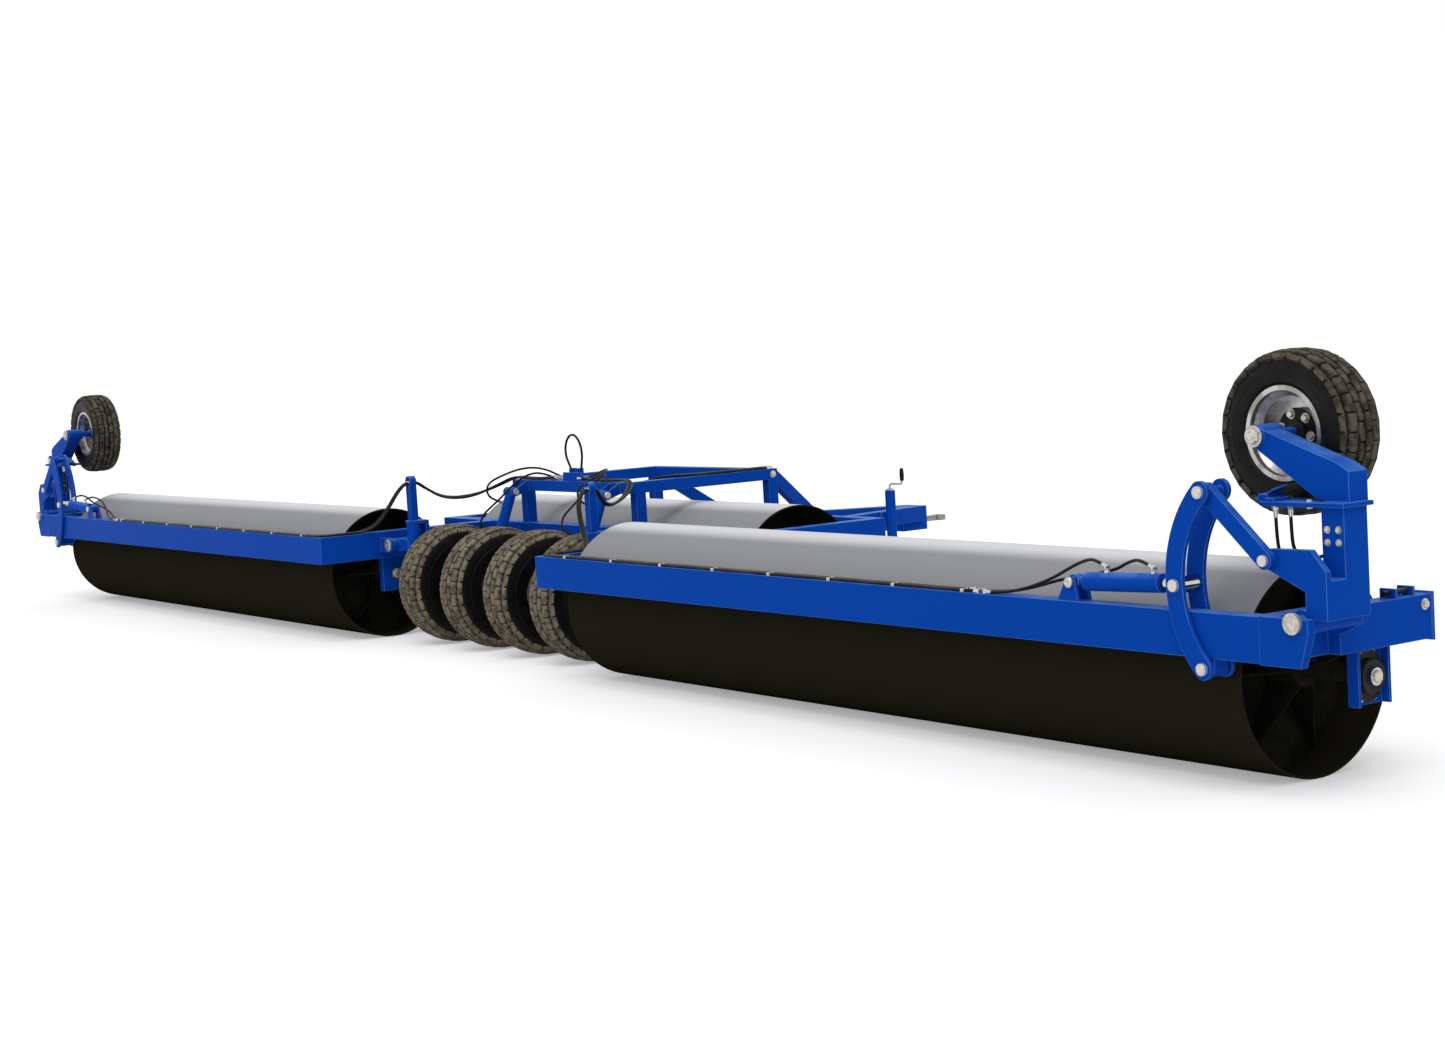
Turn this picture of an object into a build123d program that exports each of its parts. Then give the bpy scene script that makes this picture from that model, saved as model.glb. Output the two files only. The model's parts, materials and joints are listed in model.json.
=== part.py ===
from build123d import *
import math
import os

# A trailed land roller in three sections: a centre drum in front, a four-wheel lifting axle
# behind it and a drum on each folding wing. Millimetres. X is the machine's right side,
# Y its direction of travel, Z up. The ground is at Z 0. Lengths along Y are counted from
# the wing drums' axis and moved by ORIGIN_Y when the parts are written, so that the origin
# is on the ground under the middle of the machine.

# Drums
DRUM_D = 1000
DRUM_WALL = 12
WING_DRUM_LEN = 5720
CENTRE_DRUM_LEN = 3700
SHAFT_D = 76
DISC_RECESS = 250
DISC_T = 12
HUB_D = 170
RIB_COUNT = 6
RIB_DEPTH = 190
RIB_T = 12

# Wheels
TYRE_D = 890
TYRE_W = 300
TYRE_PITCH = 640
SUPPORT_TYRE_D = 750
SUPPORT_TYRE_W = 250
TYRE_SIDES = 24
TYRE_LUGS = 12
LUG_NOTCH_W = 46
LUG_NOTCH_DEPTH = 16
RIM_D = 400
RIM_WALL = 8
HUB_FLANGE_D = 200

# Running clearances, and the open spaces that set where the large pieces stand
RUN = 0.3
SIDE_GAP = 5
DRUM_GAP = 20
FRONT_GAP = 40
REAR_GAP = 45
AXLE_GAP = 53
KING_GAP = 180
GANTRY_CLEAR = 110
HANGER_DROP = 130
INNER_GAP = 140
OUTER_GAP = 270

# Lifting axle
AXLE_Y = 162
TORQUE_TUBE_D = 114
AXLE_ARM_W = 90
AXLE_ARM_H = 120
STUB_D = 70
HORN_Y = 138
HORN_Z = 165

# Wing frame
FRAME_W = 100
FRAME_H = 205
REAR_W = 95
IN_ARM_Y1 = 240
OUT_ARM_Y1 = 360
END_PLATE_T = 12
END_PLATE_LIP = 8
FLOAT_ARM = 180
FLOAT_OVERHANG = 130
FLOAT_DROP = 100
FLOAT_PIN_D = 50
FLOAT_LUG_Y = 110
FLOAT_LUG_H = 110
LUG_T = 25
HOSE_POST_H = 260

# Centre frame
BEAM_H = 150
BEAM_STEP = 25
CROSS_W = 120
FRONT_W = 80
SIDE_W = 120
KING_D = 60
KING_LOW = 110
KING_HIGH = 160
EAR_T = 25
SIDE_END_Y = 100
DRUM_ARM_W = 100
DRUM_ARM_GAP = 80
HANGER_HALF = 110
HANGER_DEPTH = 60
HANGER_WALL = 15
BEARING_D = 150
BEARING_T = 40

# Gantry and the axle cylinders' upper pins
GANTRY_SIDE = 125
GANTRY_TUBE = 80
GANTRY_BACK = 50
LIFT_BACK = 110
LIFT_EAR_R = 35
LIFT_EAR_T = 15

# Drawbar
BAR_W = 100
BAR_TOP = 760
BAR_H = 120
STAY_W = 70
STAY_H = 90
SLOPE_FOOT = 580
TONGUE_LEN = 1980
EYE_Z = 600
EYE_HOLE_D = 50
EYE_OUTER_D = 120
EYE_T = 40
EYE_REACH = 220
TONGUE_NOSE_X = 60
JACK_Y = 3300
JACK_D = 80
JACK_ROD_D = 60
JACK_TUBE_LOW = 380
JACK_TUBE_TOP = 900
JACK_FOOT = 220
JACK_FOOT_T = 12
JACK_STROKE = 350

# Support wheel tower and its linkage
PIVOT_OUT = 80
PIVOT_DROP = 15
PIVOT_LUG_H = 110
POST_W = 120
POST_STEP = 20
POST_Y0 = -470
POST_Y1 = -320
POST_H = 480
FOOT_H = 180
ARM_Y0 = -430
ARM_Y1 = -310
JOINT_PLATE_T = 20
JOINT_PLATE_IN = 300
WHEEL_GAP = 35
ROCKER_W = 100
ROCKER_T = 20
PLATE_GAP = 10
LINK_T = 40
LINK_W = 80
PIN_D = 40
TOWER_PIN_D = 60
RAM_D = 90
RAM_ROD_D = 50
RAM_REACH = 560

# Heights
DRUM_R = DRUM_D / 2
FRAME_BOTTOM = DRUM_R + HANGER_DROP
FRAME_TOP = FRAME_BOTTOM + FRAME_H
BEAM_TOP = FRAME_TOP + BEAM_STEP
BEAM_BOTTOM = BEAM_TOP - BEAM_H
GANTRY_TOP = DRUM_D + GANTRY_CLEAR + GANTRY_TUBE
FLOAT_Z = FRAME_TOP - FLOAT_DROP

# Places along Y, from the axle's wheels forward and from the wing drums back
CROSS_Y0 = AXLE_Y + TYRE_D / 2 + AXLE_GAP
CROSS_Y1 = CROSS_Y0 + CROSS_W
CENTRE_DRUM_Y = CROSS_Y1 + DRUM_GAP + DRUM_R
FRONT_Y0 = CENTRE_DRUM_Y + DRUM_R + FRONT_GAP
FRONT_Y1 = FRONT_Y0 + FRONT_W
GANTRY_Y0 = CROSS_Y0 - GANTRY_BACK
GANTRY_Y1 = FRONT_Y1
SLOPE_FOOT_Y = FRONT_Y1 + SLOPE_FOOT
TONGUE_Y1 = FRONT_Y1 + TONGUE_LEN
REAR_FACE = -(DRUM_R + REAR_GAP + REAR_W)
MECH_Y = REAR_FACE + REAR_W / 2
REACH_Y = TONGUE_Y1 + EYE_REACH + EYE_OUTER_D / 2
REAR_REACH = REAR_FACE - PLATE_GAP - ROCKER_T - 20
ORIGIN_Y = -(REACH_Y + REAR_REACH) / 2

# Places along X, from the axle's wheels outward
KING_X = 1.5 * TYRE_PITCH + TYRE_W / 2 + KING_GAP
FLOAT_X = KING_X + FLOAT_ARM
FRAME_IN = FLOAT_X + FLOAT_OVERHANG
WING_DRUM_IN = FRAME_IN + INNER_GAP
WING_DRUM_OUT = WING_DRUM_IN + WING_DRUM_LEN
FRAME_OUT = WING_DRUM_OUT + OUTER_GAP + FRAME_W
GANTRY_X = TYRE_PITCH + GANTRY_SIDE

# The axle's cross shaft and its cylinders' pins, as Y and Z
SHAFT_Y, SHAFT_Z = CROSS_Y0 + 50, BEAM_BOTTOM - 90
LIFT_TOP_Y, LIFT_TOP_Z = GANTRY_Y0 - LIFT_BACK, GANTRY_TOP - GANTRY_TUBE
LIFT_LOW_Y, LIFT_LOW_Z = AXLE_Y + HORN_Y, TYRE_D / 2 + HORN_Z

# The tower's pivot and its linkage pins, as X and Z on the right wing
TOWER_PIVOT = (FRAME_OUT + PIVOT_OUT, FRAME_TOP - PIVOT_DROP)
BRACKET_PIN = (TOWER_PIVOT[0] - 160, TOWER_PIVOT[1] + 260)
WHEEL_HUB = (TOWER_PIVOT[0] - 360, TOWER_PIVOT[1] + 780)
ROCKER_LOW = (FRAME_OUT - 430, FRAME_BOTTOM - 45)
ROCKER_MID = (ROCKER_LOW[0] - 150, ROCKER_LOW[1] + 365)
ROCKER_TOP = (ROCKER_LOW[0] + 20, ROCKER_LOW[1] + 785)
RAM_LUG = (ROCKER_LOW[0] - 850, FRAME_TOP + 90)
TOWER_OUT = TOWER_PIVOT[0] + POST_W + POST_STEP
PLATE_Z = TOWER_PIVOT[1] + POST_H
RECESS_OUT = TOWER_PIVOT[0] - (TOWER_OUT - TOWER_PIVOT[0]) - 2 * SIDE_GAP


def block(x, y, z):
    """A box given by its low and high value along each axis."""
    (x0, x1), (y0, y1), (z0, z1) = sorted(x), sorted(y), sorted(z)
    centre = Pos((x0 + x1) / 2, (y0 + y1) / 2, (z0 + z1) / 2)
    return centre * Box(x1 - x0, y1 - y0, z1 - z0)


def rod_x(y, z, d, x0, x1):
    """A round bar along X."""
    return Pos((x0 + x1) / 2, y, z) * Rot(0, 90, 0) * Cylinder(d / 2, abs(x1 - x0))


def rod_y(x, z, d, y0, y1):
    """A round bar along Y."""
    return Pos(x, (y0 + y1) / 2, z) * Rot(90, 0, 0) * Cylinder(d / 2, abs(y1 - y0))


def rod_z(x, y, d, z0, z1):
    """A round bar along Z."""
    return Pos(x, y, (z0 + z1) / 2) * Cylinder(d / 2, abs(z1 - z0))


def plate_xz(sketch, y0, y1):
    """A plate whose outline is drawn in X and Z, from y0 to y1."""
    plane = Plane(origin=(0, y1, 0), x_dir=(1, 0, 0), z_dir=(0, -1, 0))
    return extrude(plane * sketch, amount=y1 - y0)


def plate_yz(sketch, x0, x1):
    """A plate whose outline is drawn in Y and Z, from x0 to x1."""
    plane = Plane(origin=(x0, 0, 0), x_dir=(0, 1, 0), z_dir=(1, 0, 0))
    return extrude(plane * sketch, amount=x1 - x0)


def plate_xy(sketch, z0, z1):
    """A plate whose outline is drawn in X and Y, from z0 to z1."""
    return extrude(Plane(origin=(0, 0, z0)) * sketch, amount=z1 - z0)


def outline(*points):
    """A flat polygon through the points."""
    return make_face(Polyline(*points, close=True))


def stadium(p, q, width):
    """A flat bar from p to q with round ends."""
    (x0, y0), (x1, y1) = p, q
    length = math.hypot(x1 - x0, y1 - y0)
    angle = math.degrees(math.atan2(y1 - y0, x1 - x0))
    middle = Pos((x0 + x1) / 2, (y0 + y1) / 2)
    bar = middle * Rot(0, 0, angle) * Rectangle(length, width)
    return bar + Pos(x0, y0) * Circle(width / 2) + Pos(x1, y1) * Circle(width / 2)


def strut(p, q, width, height):
    """A rectangular tube from p to q, its width level."""
    start, run = Vector(*p), Vector(*q) - Vector(*p)
    side = Vector(0, 0, 1).cross(run)
    plane = Plane(origin=start, x_dir=side, z_dir=run)
    return extrude(plane * Rectangle(width, height), amount=run.length)


def drum_shell(x0, length, y):
    """The plain rolled shell."""
    outer = rod_x(y, DRUM_R, DRUM_D, x0, x0 + length)
    return outer - rod_x(y, DRUM_R, DRUM_D - 2 * DRUM_WALL, x0, x0 + length)


def drum_spider(x0, length, y, shaft):
    """The shaft, from end to end, with the drum's two end discs, hubs and radial ribs."""
    inner_d = DRUM_D - 2 * DRUM_WALL
    spider = rod_x(y, DRUM_R, SHAFT_D, *shaft)
    ends = ((x0, 1), (x0 + length, -1))
    for end, inward in ends:
        disc = end + inward * DISC_RECESS
        spider += rod_x(y, DRUM_R, inner_d, disc, disc + inward * DISC_T)
        spider += rod_x(y, DRUM_R, HUB_D, disc - inward * RIB_DEPTH, disc)
        for k in range(RIB_COUNT):
            rib = outline(
                (disc, SHAFT_D / 2),
                (disc - inward * RIB_DEPTH, SHAFT_D / 2),
                (disc - inward * RIB_DEPTH, HUB_D / 2 + 20),
                (disc - inward * RIB_T, inner_d / 2 - 1),
                (disc, inner_d / 2 - 1),
            )
            turned = Rot(360 * k / RIB_COUNT + 30, 0, 0) * plate_xz(rib, -RIB_T / 2, RIB_T / 2)
            spider += Pos(0, y, DRUM_R) * turned
    return spider


def bearing_hanger(x, y, top, outward):
    """The channel that carries one shaft bearing below its arm. outward is 1 or -1 along X."""
    low = DRUM_R - HANGER_DROP
    back = (x, x + outward * HANGER_WALL)
    plate = block(back, (y - HANGER_HALF, y + HANGER_HALF), (low, top))
    for side in (-1, 1):
        edge = y + side * HANGER_HALF
        plate += block((x, x + outward * HANGER_DEPTH), (edge - side * HANGER_WALL, edge), (low, top))
    plate += rod_x(y, DRUM_R, BEARING_D, x, x + outward * (HANGER_WALL + BEARING_T))
    reach = HANGER_WALL + BEARING_T + 1
    return plate - rod_x(y, DRUM_R, SHAFT_D + 2 * RUN, x - outward, x + outward * reach)


def ring_of_flats(section, sides):
    """A closed ring about the Z axis whose section, as radius and Z, is turned in flat steps."""
    turns = [2 * math.pi * k / sides for k in range(sides)]
    rings = [[(r * math.cos(t), r * math.sin(t), z) for r, z in section] for t in turns]
    count = len(section)
    faces = []
    for k in range(sides):
        here, after = rings[k], rings[(k + 1) % sides]
        for i in range(count):
            j = (i + 1) % count
            faces.append(make_face(Polyline(here[i], after[i], after[j], here[j], close=True)))
    return Solid(Shell(faces))


def tyre(outer_d, width):
    """A tyre about the Z axis, its middle at Z 0, with notched shoulder lugs."""
    r, half = outer_d / 2, width / 2
    bead = (RIM_D / 2 + RUN) / math.cos(math.pi / TYRE_SIDES)
    shoulder = r - 0.07 * outer_d
    mid = (bead + shoulder) / 2
    sides = ((bead, 0.38), (mid, 0.5), (shoulder, 0.46), (r, 0.36))
    section = [(radius, share * width) for radius, share in sides]
    section += [(radius, -share * width) for radius, share in reversed(sides)]
    body = ring_of_flats(section, TYRE_SIDES)
    notches = []
    for side in (-1, 1):
        for k in range(TYRE_LUGS):
            turn = 360 * k / TYRE_LUGS + (180 + 90 * side) / TYRE_SIDES
            notch = Pos(r - LUG_NOTCH_DEPTH + outer_d / 2, 0, side * (0.28 * width + half))
            notches.append(Rot(0, 0, turn) * notch * Box(outer_d, LUG_NOTCH_W, width))
    return body - notches


def rim(width, disc_z, stub_d):
    """A dished steel rim about the Z axis with its hub flange at disc_z."""
    outer, half = RIM_D / 2, 0.44 * width
    barrel = outer - 28
    section = outline(
        (outer + 14, half), (outer + 14, half - RIM_WALL), (outer, half - RIM_WALL),
        (outer, half - 30), (barrel, half - 60), (barrel, -half + 60),
        (outer, -half + 30), (outer, -half + RIM_WALL), (outer + 14, -half + RIM_WALL),
        (outer + 14, -half), (outer - RIM_WALL, -half), (outer - RIM_WALL, -half + 28),
        (barrel - RIM_WALL, -half + 58), (barrel - RIM_WALL, half - 58),
        (outer - RIM_WALL, half - 28), (outer - RIM_WALL, half),
    )
    wheel = revolve(Plane.XZ * section, Axis.Z)
    wheel += Pos(0, 0, disc_z) * Cylinder(barrel - RIM_WALL / 2, 10)
    wheel += Pos(0, 0, disc_z) * Cylinder(HUB_FLANGE_D / 2, 60)
    return wheel - Cylinder(stub_d / 2 + RUN, 2 * width)


def wheel_on_x(solid, x, y, z):
    """Turns a wheel made about Z onto an axle along X."""
    return Pos(x, y, z) * Rot(0, 90, 0) * solid


def wheel_on_y(solid, x, y, z):
    """Turns a wheel made about Z onto an axle along Y, its +Z side to -Y."""
    return Pos(x, y, z) * Rot(90, 0, 0) * solid


def centre_frame():
    """Cross beams, side arms with the wing ears, and arms out to the centre drum's bearings."""
    z = (BEAM_BOTTOM, BEAM_TOP)
    end_x = CENTRE_DRUM_LEN / 2 + DRUM_ARM_GAP
    reach = (-end_x - DRUM_ARM_W, end_x + DRUM_ARM_W)
    frame = block(reach, (CROSS_Y0, CROSS_Y1), z) + block(reach, (FRONT_Y0, FRONT_Y1), z)
    ear_low, ear_top = king_ears()
    lug_x = shaft_lug_x()
    for s in (-1, 1):
        frame += block((s * end_x, s * (end_x + DRUM_ARM_W)), (CROSS_Y1, FRONT_Y1), z)
        side = (s * (KING_X - SIDE_W / 2), s * (KING_X + SIDE_W / 2))
        frame += block(side, (SIDE_END_Y, CROSS_Y0), z)
        frame += block(side, (SIDE_END_Y - EAR_T, SIDE_END_Y), (ear_low - EAR_T, ear_top + EAR_T))
        for low in (ear_low - EAR_T, ear_top):
            ear = Pos(s * KING_X, SIDE_END_Y / 2) * Rectangle(SIDE_W, SIDE_END_Y)
            ear += Pos(s * KING_X, 0) * Circle(SIDE_W / 2)
            frame += plate_xy(ear, low, low + EAR_T)
        frame -= rod_z(s * KING_X, 0, KING_D + 2 * RUN, ear_low - 2 * EAR_T, ear_top + 2 * EAR_T)
        frame += bearing_hanger(s * end_x, CENTRE_DRUM_Y, BEAM_TOP, s)
        lug = stadium((SHAFT_Y, SHAFT_Z), (SHAFT_Y, BEAM_BOTTOM), TORQUE_TUBE_D + 30)
        lug -= Pos(SHAFT_Y, SHAFT_Z) * Circle(STUB_D / 2 + RUN)
        above = Pos(SHAFT_Y, BEAM_BOTTOM + BEAM_H / 2) * Rectangle(4 * TORQUE_TUBE_D, BEAM_H)
        frame += plate_yz(lug - above, *sorted((s * lug_x, s * (lug_x + EAR_T))))
    return frame


def shaft_lug_x():
    """Where the lugs that hold the axle's cross shaft start, on each side."""
    return TYRE_PITCH + AXLE_ARM_W / 2 + SIDE_GAP + 40


def king_ears():
    """The height of the lower and upper ear faces that hold a wing's kingpin."""
    return FLOAT_Z - KING_LOW, FLOAT_Z + KING_HIGH


def gantry():
    """The bridge over the centre drum: two rails, cross tubes and posts."""
    t = GANTRY_TUBE
    rail_z = (GANTRY_TOP - t, GANTRY_TOP)
    bridge = block((-GANTRY_X - t / 2, GANTRY_X + t / 2), (GANTRY_Y0, GANTRY_Y0 + t), rail_z)
    bridge += block((-GANTRY_X, GANTRY_X), (GANTRY_Y1 - t, GANTRY_Y1), rail_z)
    for s in (-1, 1):
        x = (s * GANTRY_X - t / 2, s * GANTRY_X + t / 2)
        bridge += block(x, (GANTRY_Y0, GANTRY_Y1), rail_z)
        for y in ((CROSS_Y0 + CROSS_Y1) / 2, (FRONT_Y0 + FRONT_Y1) / 2):
            bridge += block(x, (y - t / 2, y + t / 2), (BEAM_TOP, rail_z[0]))
        lift = Pos(LIFT_TOP_Y, LIFT_TOP_Z) * Circle(LIFT_EAR_R)
        lift += outline((LIFT_TOP_Y - LIFT_EAR_R, LIFT_TOP_Z), (GANTRY_Y0, GANTRY_TOP),
                        (GANTRY_Y0, rail_z[0]), (LIFT_TOP_Y, LIFT_TOP_Z - LIFT_EAR_R))
        lift -= Pos(LIFT_TOP_Y, LIFT_TOP_Z) * Circle(PIN_D / 2 + RUN)
        for side in (-1, 1):
            inner = s * TYRE_PITCH + side * (RAM_D / 2 + SIDE_GAP)
            bridge += plate_yz(lift, *sorted((inner, inner + side * LIFT_EAR_T)))
    return bridge


def tongue_x(y):
    """The middle of the right tongue bar at a place along Y."""
    return GANTRY_X + (TONGUE_NOSE_X - GANTRY_X) * (y - FRONT_Y1) / (TONGUE_Y1 - FRONT_Y1)


def drawbar():
    """The converging tongue, its struts up to the gantry and the nose that holds the eye."""
    middle = BAR_TOP - BAR_H / 2
    nose = TONGUE_NOSE_X + 60
    frame = block((-nose, nose), (TONGUE_Y1 - 250, TONGUE_Y1), (EYE_Z - 70, middle + 20))
    for s in (-1, 1):
        start = (s * tongue_x(FRONT_Y1 - BAR_W), FRONT_Y1 - BAR_W, middle)
        frame += strut(start, (s * TONGUE_NOSE_X, TONGUE_Y1, middle - 40), BAR_W, BAR_H)
        top = (s * GANTRY_X, GANTRY_Y1 - 60, GANTRY_TOP - 20)
        frame += strut(top, (s * tongue_x(SLOPE_FOOT_Y), SLOPE_FOOT_Y, middle), STAY_W, STAY_H)
    frame -= block((-2 * GANTRY_X, 2 * GANTRY_X), (0, FRONT_Y1), (0, 2 * GANTRY_TOP))
    jack_y = (JACK_Y - 60, JACK_Y + 60)
    bar_z = (BAR_TOP - BAR_H, BAR_TOP - 30)
    frame += block((tongue_x(JACK_Y), jack_x() - JACK_D / 2), jack_y, bar_z)
    return frame - block((-nose, nose), (TONGUE_Y1, TONGUE_Y1 + BAR_W), (0, 2 * BAR_TOP))


def jack_x():
    """The jack's centre, just outside the right tongue bar."""
    return tongue_x(JACK_Y) + BAR_W / 2 + JACK_D


def tow_eye():
    """The ring that drops over the tractor's pin."""
    centre_y = TONGUE_Y1 + EYE_REACH
    shank = block((-35, 35), (TONGUE_Y1, centre_y), (EYE_Z - EYE_T / 2, EYE_Z + EYE_T / 2))
    flange = block((-75, 75), (TONGUE_Y1, TONGUE_Y1 + 25), (EYE_Z - 65, EYE_Z + 65))
    ring = rod_z(0, centre_y, EYE_OUTER_D, EYE_Z - EYE_T / 2, EYE_Z + EYE_T / 2)
    hole = rod_z(0, centre_y, EYE_HOLE_D, EYE_Z - EYE_T, EYE_Z + EYE_T)
    return shank + flange + ring - hole


def jack_tube():
    """The outer tube of the parking jack, held against the tongue's bracket."""
    tube = rod_z(jack_x(), JACK_Y, JACK_D, JACK_TUBE_LOW, JACK_TUBE_TOP)
    flat = block((jack_x() - JACK_D / 2, jack_x()), (JACK_Y - 30, JACK_Y + 30),
                 (BAR_TOP - BAR_H, BAR_TOP - 30))
    bore_top = JACK_TUBE_LOW + 120 + JACK_STROKE + 10
    return tube + flat - rod_z(jack_x(), JACK_Y, JACK_ROD_D + 2 * RUN, 0, bore_top)


def jack_leg():
    """The sliding leg and its foot on the ground."""
    leg = rod_z(jack_x(), JACK_Y, JACK_ROD_D, JACK_FOOT_T, JACK_TUBE_LOW + 120)
    return leg + Pos(jack_x(), JACK_Y, JACK_FOOT_T / 2) * Box(JACK_FOOT, JACK_FOOT, JACK_FOOT_T)


def axle_beam():
    """The torque tube with two trailing arms, each carrying a stub axle for two wheels."""
    lug_x = shaft_lug_x()
    beam = rod_x(SHAFT_Y, SHAFT_Z, TORQUE_TUBE_D, 10 - lug_x, lug_x - 10)
    beam += rod_x(SHAFT_Y, SHAFT_Z, STUB_D, -lug_x - EAR_T - 15, lug_x + EAR_T + 15)
    for s in (-1, 1):
        x = s * TYRE_PITCH
        arm = stadium((SHAFT_Y, SHAFT_Z), (AXLE_Y, TYRE_D / 2), AXLE_ARM_H)
        horn = outline((LIFT_LOW_Y - 45, LIFT_LOW_Z - 140), (LIFT_LOW_Y + 110, LIFT_LOW_Z - 90),
                       (LIFT_LOW_Y + 30, LIFT_LOW_Z + 10), (LIFT_LOW_Y - 30, LIFT_LOW_Z + 10))
        horn += Pos(LIFT_LOW_Y, LIFT_LOW_Z) * Circle(LIFT_EAR_R)
        for side in (-1, 1):
            inner = x + side * (RAM_D / 2 + SIDE_GAP - 25)
            beam += plate_yz(horn, *sorted((inner, inner + side * LIFT_EAR_T)))
        gap = block((x - RAM_D / 2 + 20, x + RAM_D / 2 - 20), (LIFT_LOW_Y - 60, LIFT_LOW_Y + 60),
                    (LIFT_LOW_Z - 45, LIFT_LOW_Z + 100))
        beam += plate_yz(arm, x - AXLE_ARM_W / 2, x + AXLE_ARM_W / 2)
        beam -= gap
        stub = TYRE_PITCH / 2 + 40
        beam += rod_x(AXLE_Y, TYRE_D / 2, STUB_D, x - stub, x + stub)
    return beam


def lift_ram(s):
    """One axle cylinder as its barrel and its rod."""
    top, low = (LIFT_TOP_Y, LIFT_TOP_Z), (LIFT_LOW_Y, LIFT_LOW_Z)
    x = s * TYRE_PITCH
    length = math.dist(top, low)
    uy, uz = (low[0] - top[0]) / length, (low[1] - top[1]) / length
    barrel_end = length - 120
    rod_d, barrel_d = 40, RAM_D - 10

    def along(t):
        return (x, top[0] + uy * t, top[1] + uz * t)

    def bar(t0, t1, d):
        start = Vector(*along(t0))
        plane = Plane(origin=start, z_dir=Vector(0, uy, uz))
        return extrude(plane * Circle(d / 2), amount=t1 - t0)

    barrel = rod_x(*top, 70, x - RAM_D / 2, x + RAM_D / 2) + bar(30, barrel_end, barrel_d)
    barrel += rod_x(*top, PIN_D, x - RAM_D / 2 - 30, x + RAM_D / 2 + 30)
    barrel -= bar(60, barrel_end + 5, rod_d + 2 * RUN)
    rod = bar(barrel_end - 150, length - 20, rod_d) + rod_x(*low, 60, x - 20, x + 20)
    return barrel, rod


def knuckle():
    """The right wing's hinge block: kingpin, float tube and the hose post on top."""
    ear_low, ear_top = king_ears()
    body = rod_z(KING_X, 0, KING_D + 50, ear_low + SIDE_GAP, ear_top - SIDE_GAP)
    body += rod_z(KING_X, 0, KING_D, ear_low - EAR_T - 15, ear_top + EAR_T + 10)
    body += rod_y(FLOAT_X, FLOAT_Z, FLOAT_PIN_D + 50, -FLOAT_LUG_Y + SIDE_GAP, FLOAT_LUG_Y - SIDE_GAP)
    body += block((KING_X, FLOAT_X), (-60, 60), (FLOAT_Z - 45, FLOAT_Z + 45))
    body -= rod_y(FLOAT_X, FLOAT_Z, FLOAT_PIN_D + 2 * RUN, -FLOAT_LUG_Y, FLOAT_LUG_Y)
    post_low = ear_top + EAR_T + 10
    post_top = post_low + HOSE_POST_H
    body += block((KING_X - KING_D / 2, KING_X + KING_D / 2), (-KING_D / 2, KING_D / 2), (post_low, post_top))
    ring = rod_y(KING_X, post_top + 25, 90, -25, 25)
    return body + ring - rod_y(KING_X, post_top + 25, 60, -30, 30)


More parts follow.
